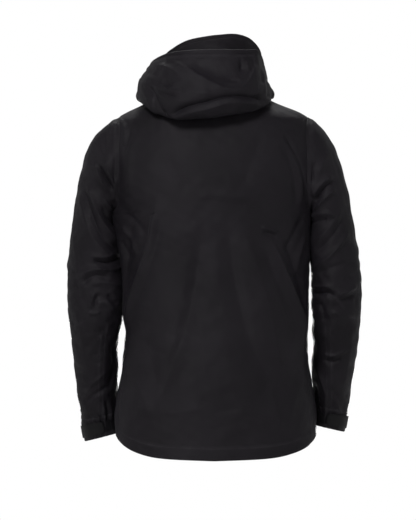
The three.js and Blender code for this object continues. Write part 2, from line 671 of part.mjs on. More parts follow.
// ---------------------------------------------------------------- hand pockets
const POCKET = { th: -47, top: -418, bottom: -584, lift: -0.4 };
for (const [name, side] of [["left", 1], ["right", -1]]) {
  const th0 = side > 0 ? POCKET.th : 180 - POCKET.th,
    th1 = side > 0 ? POCKET.th + 7 : 180 - POCKET.th - 7;
  const a = bodyPoint(th1, POCKET.bottom),
    b = bodyPoint(th0, POCKET.top);
  const mid = a.clone().add(b).multiplyScalar(0.5),
    up = b.clone().sub(a).normalize(),
    L = a.distanceTo(b);
  const zc = (POCKET.top + POCKET.bottom) / 2,
    thc = (th0 + th1) / 2;
  const t = bodyPoint(thc + 0.5, zc).sub(bodyPoint(thc - 0.5, zc));
  const n = t.clone().cross(up).normalize(),
    x = up.clone().cross(n).normalize();
  const f = new THREE.Group();
  f.matrixAutoUpdate = false;
  const bulge = bodyPoint(thc, zc).sub(mid).dot(n); // the cloth's own curve over the zip's straight line
  f.matrix.makeBasis(x, n.clone().negate(), up).setPosition(mid.addScaledVector(n, 0.8 + 0.75 * bulge));
  jacket.add(f);
  f.updateMatrixWorld(true);
  // the opening in the front panel
  const slot = box(0, 0, 0, 9.6, 30, L + 0.8).applyMatrix4(f.matrix);
  const panel = jacket.getObjectByName(name + "_front_panel");
  panel.geometry = cut(panel.geometry, slot);
  add(f, name + "_pocket_zip_tape", cut(box(0, 1, 0, 8.8, 0.8, L), box(0, 1, 0, 0.8, 2, L - 10)), "tape");
  add(f, name + "_pocket_zip_teeth", cut(box(0, 2.8, 0, 5.6, 2, L - 2), box(0, 2.8, 0, 0.8, 4, L - 10)), "moulded");
  add(f, name + "_pocket_zip_slider", sliderGeometry(6.8, 10, 4.2).translate(0, 0, L / 2 - 13), "metal");
  add(f, name + "_pocket_zip_pull", pullGeometry(5.4, 26, 1.4).translate(0, -3.3, L / 2 - 12), "moulded");
  // the bag hangs flat behind the zip and the front panel
  const bag = (u, v) => {
    const z = lerp(POCKET.bottom - 22, POCKET.top + 16, v),
      th = lerp(-31, -74, u);
    return insetBody(side > 0 ? th : 180 - th, z, FABRIC + 9);
  };
  add(jacket, name + "_pocket_bag", sheet(bag, steps(0, 1, 6), steps(0, 1, 5), 1.2), "lining");
}

// ---------------------------------------------------------------- cuffs
for (const [name, side] of [["left", 1], ["right", -1]]) {
  const lifted = (phi, s, h) => {
    const c = sleevePoint(side, phi, s),
      a = sleevePoint(side, phi + 1, s).sub(sleevePoint(side, phi - 1, s)),
      b = sleevePoint(side, phi, Math.min(18, s + 0.05)).sub(sleevePoint(side, phi, s - 0.05));
    const n = a.cross(b).normalize();
    const mid = sleevePoint(side, 0, s).add(sleevePoint(side, 180, s)).multiplyScalar(0.5);
    if (n.dot(c.clone().sub(mid)) < 0) n.negate();
    return c.addScaledVector(n, h);
  };
  add(jacket, name + "_cuff_loop_patch", sheet((p, s) => lifted(p, s, 2), steps(40, 150, 9), [16.95, 17.7], 1.0, { lift: side > 0 ? 0 : 1.0 }), "tape");
  add(jacket, name + "_cuff_tab", sheet((p, s) => lifted(p, s, 5.6), steps(82, 200, 10), [16.9, 17.75], 1.8, { lift: side > 0 ? 0 : 1.8 }), "moulded");
  add(jacket, name + "_cuff_hook_patch", sheet((p, s) => lifted(p, s, 3.4), steps(88, 128, 4), [16.98, 17.66], 0.8, { lift: side > 0 ? 0 : 0.8 }), "tape");
}

// ---------------------------------------------------------------- hang loop, inside the back of the neck
const loop = new THREE.Shape([
  [-24, 0], [24, 0], [24, 5], [21, 13], [15, 17], [-15, 17], [-21, 13], [-24, 5],
].map(([x, y]) => new THREE.Vector2(x, y)));
loop.holes.push(new THREE.Path([
  [-20, 4], [-18, 10], [-14, 13], [14, 13], [18, 10], [20, 4],
].map(([x, y]) => new THREE.Vector2(x, y))));
add(
  jacket,
  "hang_loop",
  mergeBare(new THREE.ExtrudeGeometry(loop, { depth: 1.6, bevelEnabled: false }))
    .rotateX(Math.PI / 2)
    .translate(2, 61.6, 45),
  "tape",
);

export default jacket;
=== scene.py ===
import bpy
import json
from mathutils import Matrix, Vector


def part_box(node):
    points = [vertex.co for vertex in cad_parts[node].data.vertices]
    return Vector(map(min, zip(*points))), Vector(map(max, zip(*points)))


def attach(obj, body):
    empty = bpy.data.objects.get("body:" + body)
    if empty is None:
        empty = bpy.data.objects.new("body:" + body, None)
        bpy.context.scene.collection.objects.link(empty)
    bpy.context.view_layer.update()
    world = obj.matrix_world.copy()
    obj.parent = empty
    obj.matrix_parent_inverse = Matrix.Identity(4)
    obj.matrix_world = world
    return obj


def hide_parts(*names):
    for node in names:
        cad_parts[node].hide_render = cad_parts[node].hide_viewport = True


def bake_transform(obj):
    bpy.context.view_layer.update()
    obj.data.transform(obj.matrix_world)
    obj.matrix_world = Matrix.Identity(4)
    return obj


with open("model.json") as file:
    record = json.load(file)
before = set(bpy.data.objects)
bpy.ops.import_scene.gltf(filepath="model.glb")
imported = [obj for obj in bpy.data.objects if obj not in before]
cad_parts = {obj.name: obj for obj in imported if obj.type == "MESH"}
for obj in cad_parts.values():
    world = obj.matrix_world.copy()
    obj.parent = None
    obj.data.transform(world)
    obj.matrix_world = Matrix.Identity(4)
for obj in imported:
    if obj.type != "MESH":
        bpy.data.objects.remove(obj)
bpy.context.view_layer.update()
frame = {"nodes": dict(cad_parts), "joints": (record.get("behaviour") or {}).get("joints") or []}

import json
import math

import bpy
import numpy as np
from mathutils import Matrix, Vector

# ------------------------------------------------------------------ camera, lights, stage
cam_data = bpy.data.cameras.new("camera")
cam_data.sensor_width = 36
cam_data.lens = 532.4
cam_data.clip_end = 50
cam = bpy.data.objects.new("camera", cam_data)
cam.location = (0.0125, 16.0, -0.343)
cam.rotation_euler = (math.pi / 2, 0, math.pi)
bpy.context.collection.objects.link(cam)
bpy.context.scene.camera = cam


def area_light(name, loc, target, size, power, color=(1, 1, 1)):
    d = bpy.data.lights.new(name, "AREA")
    d.shape = "RECTANGLE"
    d.size, d.size_y = size
    d.energy = power
    d.color = color
    o = bpy.data.objects.new(name, d)
    o.location = loc
    o.rotation_euler = (Vector(target) - Vector(loc)).to_track_quat("-Z", "Y").to_euler()
    bpy.context.collection.objects.link(o)
    return o


area_light("key_back", (0.8, 2.6, 1.9), (0, 0, -0.30), (0.9, 0.9), 178)
area_light("side_back", (-2.2, 2.3, 0.3), (0, 0, -0.35), (0.7, 1.4), 42)
area_light("fill_back", (2.0, 2.6, -0.2), (0, 0, -0.35), (0.9, 1.6), 32)
area_light("key_front", (0.0, -2.0, 2.4), (0, 0, -0.30), (1.0, 0.9), 60)
area_light("low_front", (0.0, -2.9, -0.9), (0, 0, -0.35), (1.5, 0.8), 110)
area_light("side_front", (2.9, -0.7, 0.2), (0, 0, -0.35), (0.8, 1.4), 18)
area_light("fill_front", (-2.9, -0.7, -0.1), (0, 0, -0.35), (0.8, 1.4), 15)

world = bpy.data.worlds.new("studio")
bpy.context.scene.world = world
world.use_nodes = True
world.node_tree.nodes["Background"].inputs["Color"].default_value = (1, 1, 1, 1)
# the backdrop is white, and the light that it throws back onto the cloth is weaker
seen = world.node_tree.nodes.new("ShaderNodeLightPath").outputs["Is Camera Ray"]
level = world.node_tree.nodes.new("ShaderNodeMapRange")
level.inputs["To Min"].default_value = 0.34
level.inputs["To Max"].default_value = 1.0
world.node_tree.links.new(seen, level.inputs["Value"])
world.node_tree.links.new(level.outputs["Result"], world.node_tree.nodes["Background"].inputs["Strength"])
bpy.context.scene.view_settings.view_transform = "Standard"
bpy.context.scene.view_settings.look = "None"
bpy.context.scene.view_settings.exposure = 0.0


# ------------------------------------------------------------------ materials
def material(name, base, rough, *, spec=0.35, sheen=0.0, sheen_rough=0.4, sheen_tint=(1, 1, 1), metallic=0.0,
             vary=0.25, vary_scale=9.0, weave=0.0, weave_mm=0.55, crinkle=0.0, crinkle_mm=9.0, grain=0.0,
             grain_mm=0.35, seam=0.0, rough_vary=0.06, stripes=0.0, stripe_mm=1.2, stripe_axis="Z"):
    m = bpy.data.materials.new(name)
    m.use_nodes = True
    nt = m.node_tree
    bsdf = nt.nodes["Principled BSDF"]
    new, link = nt.nodes.new, nt.links.new
    coord = new("ShaderNodeTexCoord").outputs["Object"]

    def noise(scale_per_m, detail=2.0, rough_=0.5):
        n = new("ShaderNodeTexNoise")
        n.inputs["Scale"].default_value = scale_per_m
        n.inputs["Detail"].default_value = detail
        n.inputs["Roughness"].default_value = rough_
        link(coord, n.inputs["Vector"])
        return n.outputs["Fac"]

    def remap(x, a, b, c, d):
        n = new("ShaderNodeMapRange")
        for k, v in zip(("From Min", "From Max", "To Min", "To Max"), (a, b, c, d)):
            n.inputs[k].default_value = v
        link(x, n.inputs["Value"])
        return n.outputs["Result"]

    def op(kind, a, b):
        n = new("ShaderNodeMath")
        n.operation = kind
        for i, x in enumerate((a, b)):
            if isinstance(x, (int, float)):
                n.inputs[i].default_value = x
            else:
                link(x, n.inputs[i])
        return n.outputs[0]

    # colour: a broad fade and a fine mottle
    broad = noise(vary_scale, 3.0)
    fine = noise(420.0, 2.0)
    mix = op("ADD", op("MULTIPLY", broad, 0.75), op("MULTIPLY", fine, 0.25))
    ramp = new("ShaderNodeValToRGB")
    ramp.color_ramp.elements[0].position = 0.3
    ramp.color_ramp.elements[1].position = 0.7
    lo = [c * (1 - vary) for c in base]
    hi = [c * (1 + vary) for c in base]
    ramp.color_ramp.elements[0].color = (*lo, 1)
    ramp.color_ramp.elements[1].color = (*hi, 1)
    link(mix, ramp.inputs["Fac"])
    color_out = ramp.outputs["Color"]
    height = None

    def add_height(h):
        nonlocal height
        height = h if height is None else op("ADD", height, h)

    if seam:
        at = new("ShaderNodeAttribute")
        at.attribute_name = "seam"
        d = at.outputs["Fac"]
        add_height(remap(d, 0.0, 1.6, -1.2 * seam, 0.0))
        near = remap(d, 0.0, 5.0, 1.0, 0.0)
        wear = op("MULTIPLY", near, remap(noise(60.0, 3.0), 0.35, 0.7, 0.0, 1.0))
        mx = new("ShaderNodeMix")
        mx.data_type = "RGBA"
        link(op("MULTIPLY", wear, 0.5), mx.inputs["Factor"])
        link(color_out, mx.inputs["A"])
        mx.inputs["B"].default_value = (*[min(1, c * 2.1 + 0.004) for c in base], 1)
        color_out = mx.outputs["Result"]
    if weave:
        for ax in ("X", "Z", "Y"):
            w = new("ShaderNodeTexWave")
            w.wave_type = "BANDS"
            w.bands_direction = ax
            w.inputs["Scale"].default_value = 1000 / weave_mm / 6.2832 * 3.1416
            w.inputs["Distortion"].default_value = 0.6
            link(coord, w.inputs["Vector"])
            add_height(op("MULTIPLY", w.outputs["Fac"], 0.05 * weave))
    if grain:
        add_height(op("MULTIPLY", noise(1000 / grain_mm, 2.0), 0.22 * grain))
    if crinkle:
        add_height(op("MULTIPLY", noise(1000 / crinkle_mm, 4.0, 0.6), 0.9 * crinkle))
        add_height(op("MULTIPLY", noise(1000 / (crinkle_mm * 3.6), 2.0, 0.5), 2.4 * crinkle))
    if stripes:
        w = new("ShaderNodeTexWave")
        w.wave_type = "BANDS"
        w.bands_direction = stripe_axis
        w.inputs["Scale"].default_value = 1000 / stripe_mm / 6.2832 * 3.1416
        link(coord, w.inputs["Vector"])
        add_height(op("MULTIPLY", w.outputs["Fac"], 0.3 * stripes))
    if height is not None:
        b = new("ShaderNodeBump")
        b.inputs["Strength"].default_value = 1.0
        b.inputs["Distance"].default_value = 0.001
        link(height, b.inputs["Height"])
        link(b.outputs["Normal"], bsdf.inputs["Normal"])
    r = remap(noise(38.0, 3.0), 0.3, 0.7, rough - rough_vary, rough + rough_vary)
    link(r, bsdf.inputs["Roughness"])
    link(color_out, bsdf.inputs["Base Color"])
    bsdf.inputs["Metallic"].default_value = metallic
    bsdf.inputs["Specular IOR Level"].default_value = spec
    if sheen:
        bsdf.inputs["Sheen Weight"].default_value = sheen
        bsdf.inputs["Sheen Roughness"].default_value = sheen_rough
        bsdf.inputs["Sheen Tint"].default_value = (*sheen_tint, 1)
    m.diffuse_color = (*base, 1)
    return m


SHELL = material("shell_fabric", (0.0046, 0.0040, 0.0050), 0.45, spec=0.040, sheen=0.004, sheen_rough=0.45,
                 sheen_tint=(0.72, 0.70, 0.86), weave=1.0, crinkle=0.22, grain=0.5, seam=0.4)
LINING = material("lining_fabric", (0.0060, 0.0058, 0.0068), 0.82, spec=0.06, sheen=0.01, weave=1.6, weave_mm=1.1,
                  crinkle=0.2, seam=0.4)
TAPE = material("zip_tape", (0.0024, 0.0023, 0.0027), 0.40, spec=0.10, weave=0.6, weave_mm=0.8, grain=0.6)
MOULDED = material("moulded_plastic", (0.0016, 0.0015, 0.0018), 0.46, spec=0.07, grain=0.9, grain_mm=0.5,
                   vary=0.15, rough_vary=0.05)
METAL = material("coated_metal", (0.012, 0.012, 0.013), 0.34, spec=0.5, metallic=0.55, grain=0.35, grain_mm=0.3,
                 vary=0.2, rough_vary=0.07)
VELCRO = material("hook_and_loop", (0.0026, 0.0025, 0.0030), 0.95, spec=0.04, sheen=0.02, sheen_rough=0.3, grain=3.5,
                  grain_mm=0.9)
WEBBING = material("webbing", (0.006, 0.006, 0.007), 0.8, spec=0.12, sheen=0.04, weave=2.6, weave_mm=1.6)
THREAD = material("thread", (0.0052, 0.0050, 0.0058), 0.55, spec=0.12, sheen=0.02, grain=1.5, grain_mm=0.3)
CORD = material("cord", (0.008, 0.008, 0.0095), 0.75, spec=0.15, sheen=0.05, weave=2.5, weave_mm=1.3)
FLOOR = material("floor", (0.84, 0.84, 0.84), 0.75, spec=0.15, vary=0.01, grain=0.2)


# ------------------------------------------------------------------ meshes
def mesh_object(name, verts, faces, mat, smooth=True, attrs=None):
    """verts in mm."""
    me = bpy.data.meshes.new(name)
    me.from_pydata((np.asarray(verts, float) * 0.001).tolist(), [], [list(map(int, f)) for f in faces])
    if smooth:
        me.polygons.foreach_set("use_smooth", np.ones(len(me.polygons), bool))
    for key, val in (attrs or {}).items():
        a = me.attributes.new(key, "FLOAT", "POINT")
        a.data.foreach_set("value", np.asarray(val, np.float32).ravel())
    me.materials.append(mat)
    me.update()
    o = bpy.data.objects.new(name, me)
    bpy.context.collection.objects.link(o)
    return o


def grid_faces(nv, nu, wrap=False, flip=False):
    i = np.arange(nu if wrap else nu - 1)
    j = np.arange(nv - 1)
    J, I = np.meshgrid(j, i, indexing="ij")
    I2 = (I + 1) % nu
    f = np.stack([J * nu + I, J * nu + I2, (J + 1) * nu + I2, (J + 1) * nu + I], -1).reshape(-1, 4)
    return f[:, ::-1] if flip else f


def normals(P, wrap=False):
    if wrap:
        du = np.roll(P, -1, 1) - np.roll(P, 1, 1)
    else:
        du = np.gradient(P, axis=1)
    dv = np.gradient(P, axis=0)
    n = np.cross(du, dv)
    return n / np.maximum(np.linalg.norm(n, axis=-1, keepdims=True), 1e-9)


CUTS = {}


def cloth_piece(name, P, mat, *, wrap=False, thick=0.9, seam=None, flip=False, inner=None, n=None):
    """A sheet from a grid of points in mm, its inner face the thickness below, its rim closed."""
    nv, nu = P.shape[:2]
    n = normals(P, wrap) * (-1 if flip else 1) if n is None else n
    Q = P - n * thick
    V = np.concatenate([P.reshape(-1, 3), Q.reshape(-1, 3)])
    N = nv * nu
    F = [grid_faces(nv, nu, wrap, flip), grid_faces(nv, nu, wrap, not flip) + N]
    cols = np.arange(nu if wrap else nu - 1)
    nxt = (cols + 1) % nu
    lo = np.stack([nxt, cols, cols + N, nxt + N], -1)
    t = (nv - 1) * nu
    hi = np.stack([cols + t, nxt + t, nxt + t + N, cols + t + N], -1)
    sides = [lo, hi]
    if not wrap:
        j = np.arange(nv - 1)
        a, b = j * nu, (j + 1) * nu
        sides.append(np.stack([a, b, b + N, a + N], -1))
        a, b = a + nu - 1, b + nu - 1
        sides.append(np.stack([b, a, a + N, b + N], -1))
    for s in sides:
        F.append(s[:, ::-1] if flip else s)
    at = {}
    sd = np.full((nv, nu), 50.0) if seam is None else seam
    at["seam"] = np.concatenate([sd.ravel(), sd.ravel()])
    o = mesh_object(name, V, np.concatenate(F), mat, attrs=at)
    if inner is not None:
        o.data.materials.append(inner)
        idx = np.zeros(len(o.data.polygons), np.int32)
        idx[len(F[0]):len(F[0]) + len(F[1])] = 1
        o.data.polygons.foreach_set("material_index", idx)
    o.data.set_sharp_from_angle(angle=math.radians(62))
    CUTS[name] = (o, P, wrap)
    return o


# ------------------------------------------------------------------ the jacket's own curves (the frame's, in mm)
def table(rows):
    a = np.array(rows, float)
    x, y = a[:, 0], a[:, 1]
    m = np.empty(len(x))
    m[1:-1] = (y[2:] - y[:-2]) / (x[2:] - x[:-2])
    m[0] = (y[1] - y[0]) / (x[1] - x[0])
    m[-1] = (y[-1] - y[-2]) / (x[-1] - x[-2])
    return x, y, m


def curve(T, q):
    x, y, m = T
    q = np.clip(np.asarray(q, float), x[0], x[-1])
    i = np.clip(np.searchsorted(x, q, side="left") - 1, 0, len(x) - 2)
    h = x[i + 1] - x[i]
    t = (q - x[i]) / h
    t2, t3 = t * t, t * t * t
    return ((2 * t3 - 3 * t2 + 1) * y[i] + (t3 - 2 * t2 + t) * h * m[i]
            + (-2 * t3 + 3 * t2) * y[i + 1] + (t3 - t2) * h * m[i + 1])


ZIP_TOP, ZIP_HEM, ZIP_Y0, ZIP_SLOPE = 78, -706, -104, 0.0542
ARMPIT, ARM_TOP = -245, -47
ARM_X = {1: 198, -1: 193}
HALF_L = table([
    [-770, 205], [-700, 204.5], [-666, 205], [-634, 203], [-603, 197.5], [-572, 192], [-539, 189], [-505, 185.5],
    [-472, 182], [-439, 179.5], [-406, 179.5], [-372, 181.5], [-339, 186], [-308, 192], [-281, 197.5], [-260, 201],
    [-245, 203], [-215, 212], [-180, 222], [-140, 228], [-100, 226], [-72, 216], [-50, 202], [-38, 183], [-25, 156],
    [-16, 139], [-8, 122], [0, 108], [8, 97], [14, 91], [20, 87], [30, 82], [40, 78]])
HALF_R = table([
    [-770, 213], [-697, 213], [-666, 212], [-634, 208.5], [-603, 203.5], [-572, 199], [-539, 195.5], [-505, 195],
    [-472, 196], [-439, 197.5], [-406, 197.5], [-372, 196.5], [-339, 195], [-308, 195.5], [-281, 196.5], [-260, 197.5],
    [-245, 198], [-215, 207], [-180, 217], [-140, 222], [-100, 219], [-72, 209], [-50, 196], [-38, 174], [-25, 144],
    [-16, 126], [-8, 112], [0, 101], [8, 93], [14, 88], [20, 85], [30, 81], [40, 78]])
BACK_Y = table([
    [-770, 152], [-650, 148], [-500, 140], [-400, 136], [-300, 139], [-200, 147], [-140, 147], [-100, 141], [-60, 130],
    [-30, 117], [0, 100], [20, 88], [40, 76]])
MID_Y = table([[-770, 0], [-245, 5], [-100, 8], [-47, 9], [0, 0], [20, -8], [40, -13]])
POWER = table([[-770, 2.5], [-400, 2.4], [-245, 2.4], [-100, 2.25], [-30, 2.15], [40, 2.1]])
HEM_Z = table([[0, -757], [30, -751], [50, -739], [70, -721], [85, -706], [100, -700], [120, -700], [150, -708],
               [180, -712]])
NECK_Z = table([[0, 35], [45, 28], [90, 14], [120, 0], [150, -18], [180, -25]])
COLLAR_L = table([[0, 123], [30, 113], [60, 94], [90, 81], [120, 78], [180, 78]])
COLLAR_R = table([[0, 123], [25, 126], [45, 119], [60, 107], [75, 94], [90, 83], [120, 78], [180, 78]])
SIDE_BACK = table([[-757, 17], [-246, 6], [14, 6]])


def zip_y(z):
    return ZIP_Y0 - (ZIP_TOP - z) * ZIP_SLOPE


def from_back(th):
    return np.abs(((((th - 90) % 360) + 540) % 360) - 180)


def smooth(t):
    t = np.clip(t, 0, 1)
    return t * t * (3 - 2 * t)


def shoulder_rise(z, c):
    """The right shoulder stands a little wider and higher than the left."""
    return np.where(c < 0, 8.5, 1.0) * np.exp(-(((z + 33) / 15) ** 2))


def body_point(th, z):
    th, z = np.broadcast_arrays(np.asarray(th, float), np.asarray(z, float))
    c, s = np.cos(np.radians(th)), np.sin(np.radians(th))
    n, cy = curve(POWER, z), curve(MID_Y, z)
    A = np.where(c >= 0, curve(HALF_L, z), curve(HALF_R, z))
    B = np.where(s >= 0, curve(BACK_Y, z) - cy, cy - zip_y(z))
    A = A + shoulder_rise(z, c)
    x = A * np.sign(c) * np.abs(c) ** (2 / n)
    # the cloth gathered under each arm, behind the side seam, where it meets the sleeve
    top = smooth((-221 - z) / 28)
    x = x + 14.0 * np.exp(-(((th - 13) / 10.5) ** 2)) * top * smooth((z + 506) / 60)
    x = x - 8.4 * np.exp(-(((167 - th) / 10.5) ** 2)) * top * smooth((z + 380) / 50)
    return np.stack([x, cy + B * np.sign(s) * np.abs(s) ** (2 / n), z], -1)


def hem_z(th):
    return curve(HEM_Z, from_back(th))


def neck_z(th):
    return curve(NECK_Z, from_back(th))


def row_z(th, zeta):
    return zeta + smooth((-560 - zeta) / 197) * (hem_z(th) + 757) + smooth((zeta + 60) / 74) * (neck_z(th) - 14)


def arm_angle(side, z):
    A = curve(HALF_L if side > 0 else HALF_R, z)
    x = ARM_X[side]
    a = np.degrees(np.arccos(np.clip((x / A) ** (curve(POWER, z) / 2), 0, 1)))
    return np.where((z < ARMPIT) | (z > ARM_TOP + 1.5) | (A <= x), 0, a)


def edge_angle(side, front, zeta):
    low = curve(SIDE_BACK, zeta)
    a = np.full_like(zeta, 5.0)
    for _ in range(14):
        th = (-a if front else a) if side > 0 else (180 + a if front else 180 - a)
        a = 0.5 * (a + arm_angle(side, row_z(th, zeta)))
    return np.where(zeta <= -246, low, np.maximum(a, 0.05))


# ------------------------------------------------------------------ folds
def px(P):
    """The points' place in the back view's picture frame, 2.08 mm to a unit."""
    return 214 - P[..., 0] / 2.08, 95 - P[..., 2] / 2.08


def spline(pts, n=24):
    pts = np.asarray(pts, float)
    if len(pts) == 2:
        return np.linspace(pts[0], pts[1], 8)
    k = np.concatenate([[0], np.cumsum(np.linalg.norm(np.diff(pts, axis=0), axis=1))])
    q = np.linspace(0, k[-1], n)
    return np.stack([curve(table(np.stack([k, pts[:, c]], 1)), q) for c in (0, 1)], -1)


def strokes(U, V, rows, unit=1.0):
    """Sum of fold strokes at (U, V). A row: points, height mm, width on its left mm, width on its right mm[, sharpness].
    Each fades out towards both ends. unit is mm per unit of U and V."""
    out = np.zeros_like(U)
    shape = U.shape
    X = np.stack([U.ravel(), V.ravel()], -1)
    for row in rows:
        pts, h, wl, wr = row[:4]
        p = row[4] if len(row) > 4 else 1.6
        fade = row[5] if len(row) > 5 else 0.25
        C = spline(pts)
        reach = 3.2 * max(wl, wr) / unit
        near = np.nonzero((X[:, 0] > C[:, 0].min() - reach) & (X[:, 0] < C[:, 0].max() + reach)
                          & (X[:, 1] > C[:, 1].min() - reach) & (X[:, 1] < C[:, 1].max() + reach))[0]
        if not len(near):
            continue
        Q = X[near]
        best = np.full(len(Q), 1e9)
        side = np.zeros(len(Q))
        along = np.zeros(len(Q))
        seg = np.diff(C, axis=0)
        ln = np.maximum(np.linalg.norm(seg, axis=1), 1e-9)
        cum = np.concatenate([[0], np.cumsum(ln)])
        for k in range(len(seg)):
            r = Q - C[k]
            t = np.clip((r @ seg[k]) / ln[k] ** 2, 0, 1)
            d = np.linalg.norm(r - t[:, None] * seg[k], axis=1)
            hit = d < best
            best = np.where(hit, d, best)
            cr = seg[k, 0] * r[:, 1] - seg[k, 1] * r[:, 0]
            side = np.where(hit, np.sign(cr), side)
            along = np.where(hit, (cum[k] + t * ln[k]) / cum[-1], along)
        d = best * unit
        w = np.where(side > 0, wr, wl)
        f = h * np.exp(-((d / w) ** p))
        f *= smooth(along / fade) * smooth((1 - along) / fade) if fade > 0 else 1
        o = out.ravel()
        o[near] += f
        out = o.reshape(shape)
    return out


def fbm(P, scale, seed=0, octaves=3, stretch=(1, 1, 1)):
    """Smooth noise from sums of turned sine waves: the same on every run. scale in mm."""
    r = np.random.default_rng(seed)
    out = np.zeros(P.shape[:-1])
    Q = P * np.array(stretch, float)
    for o in range(octaves):
        f = 2 * math.pi / (scale / 1.9 ** o)
        part = np.zeros_like(out)
        for _ in range(7):
            k = r.normal(size=3)
            k /= np.linalg.norm(k)
            part += np.sin(Q @ k * f * r.uniform(0.6, 1.25) + r.uniform(0, 6.283))
        out += part / 7 ** 0.5 * 0.55 ** o
    return out


# ------------------------------------------------------------------ cloth relaxation on a grid
def relax(P0, *, grow_u, grow_v, iters=120, wrap=False, out_cap=9.0, in_cap=2.5, pin=None, gravity=0.0, bend=0.25,
          hold=0.02, start=None):
    """Position-based cloth: a grid of points whose threads are a little longer than the surface they lie on, so that
    the cloth buckles into folds over it. P0 is the surface; the result stays between in_cap below it and out_cap
    above it, mm. grow_u and grow_v are arrays or numbers, the extra length along each thread."""
    nv, nu = P0.shape[:2]
    N = normals(P0, wrap)
    P = P0 + (0 if start is None else N * start[..., None])
    pin = np.zeros((nv, nu)) if pin is None else pin
    free = (1 - pin)[..., None]
    gu = np.broadcast_to(np.asarray(grow_u, float), (nv, nu))
    gv = np.broadcast_to(np.asarray(grow_v, float), (nv, nu))

    sets = []

    def add(dj, di, g, k):
        if di < 0:
            ja, ia = np.arange(nv - dj), np.arange(nu) if wrap else np.arange(-di, nu)
        else:
            ja, ia = np.arange(nv - dj), np.arange(nu) if wrap else np.arange(nu - di)
        J, I = np.meshgrid(ja, ia, indexing="ij")
        J2, I2 = J + dj, (I + di) % nu if wrap else I + di
        rest = np.linalg.norm(P0[J2, I2] - P0[J, I], axis=-1) * (1 + g[J, I])
        sets.append((J, I, J2, I2, rest[..., None], k))

    add(0, 1, gu, 1.0)
    add(1, 0, gv, 1.0)
    add(1, 1, (gu + gv) / 2, 0.5)
    add(1, -1, (gu + gv) / 2, 0.5)
    add(0, 2, gu, bend)
    add(2, 0, gv, bend)
    flat = P.reshape(-1, 3)
    for it in range(iters):
        D = np.zeros((nv * nu, 3))
        W = np.zeros(nv * nu)
        for J, I, J2, I2, rest, k in sets:
            a, b = (J * nu + I).ravel(), (J2 * nu + I2).ravel()
            d = flat[b] - flat[a]
            L = np.linalg.norm(d, axis=1, keepdims=True)
            c = d * ((L - rest.reshape(-1, 1)) / np.maximum(L, 1e-9)) * 0.5 * k
            D += np.stack([np.bincount(a, c[:, q], nv * nu) - np.bincount(b, c[:, q], nv * nu) for q in range(3)], -1)
            W += (np.bincount(a, minlength=nv * nu) + np.bincount(b, minlength=nv * nu)) * k
        step = D / np.maximum(W, 1)[:, None] * 1.9
        step[:, 2] -= gravity
        flat = flat + step * free.reshape(-1, 1)
        off = flat.reshape(nv, nu, 3) - P0
        h = np.sum(off * N, -1)
        lim = np.clip(h, -in_cap, out_cap)
        off += (lim - h)[..., None] * N
        tang = off - lim[..., None] * N
        off -= tang * hold
        off -= N * (lim * hold * 0.5)[..., None]
        flat = (P0 + off * free + (1 - free) * (P - P0)).reshape(-1, 3)
    return flat.reshape(nv, nu, 3)


def resample(D, nv, nu, wrap=False):
    """Cubic resampling of a grid of vectors to nv by nu."""
    def one(A, n, wrap_):
        m = A.shape[0]
        q = np.arange(n) * (m / n) if wrap_ else np.linspace(0, m - 1, n)
        i = np.floor(q).astype(int)
        t = (q - i)[:, None, None]
        g = (lambda k: A[k % m]) if wrap_ else (lambda k: A[np.clip(k, 0, m - 1)])
        a, b, c, d = g(i - 1), g(i), g(i + 1), g(i + 2)
        return b + 0.5 * t * (c - a + t * (2 * a - 5 * b + 4 * c - d + t * (3 * (b - c) + d - a)))
    R = one(D, nv, False)
    return np.swapaxes(one(np.swapaxes(R, 0, 1), nu, wrap), 0, 1)


def edge_distance(P, edges, extra=()):
    """mm along the grid from named edges ('u0', 'u1', 'v0', 'v1'); extra holds ready arrays."""
    du = np.linalg.norm(np.diff(P, axis=1), axis=-1)
    dv = np.linalg.norm(np.diff(P, axis=0), axis=-1)
    cu = np.concatenate([np.zeros((P.shape[0], 1)), np.cumsum(du, 1)], 1)
    cv = np.concatenate([np.zeros((1, P.shape[1])), np.cumsum(dv, 0)], 0)
    out = np.full(P.shape[:2], 60.0)
    for e in edges:
        d = {"u0": cu, "u1": cu[:, -1:] - cu, "v0": cv, "v1": cv[-1:] - cv}[e]
        out = np.minimum(out, d)
    for x in extra:
        out = np.minimum(out, np.abs(x))
    return out, cu, cv


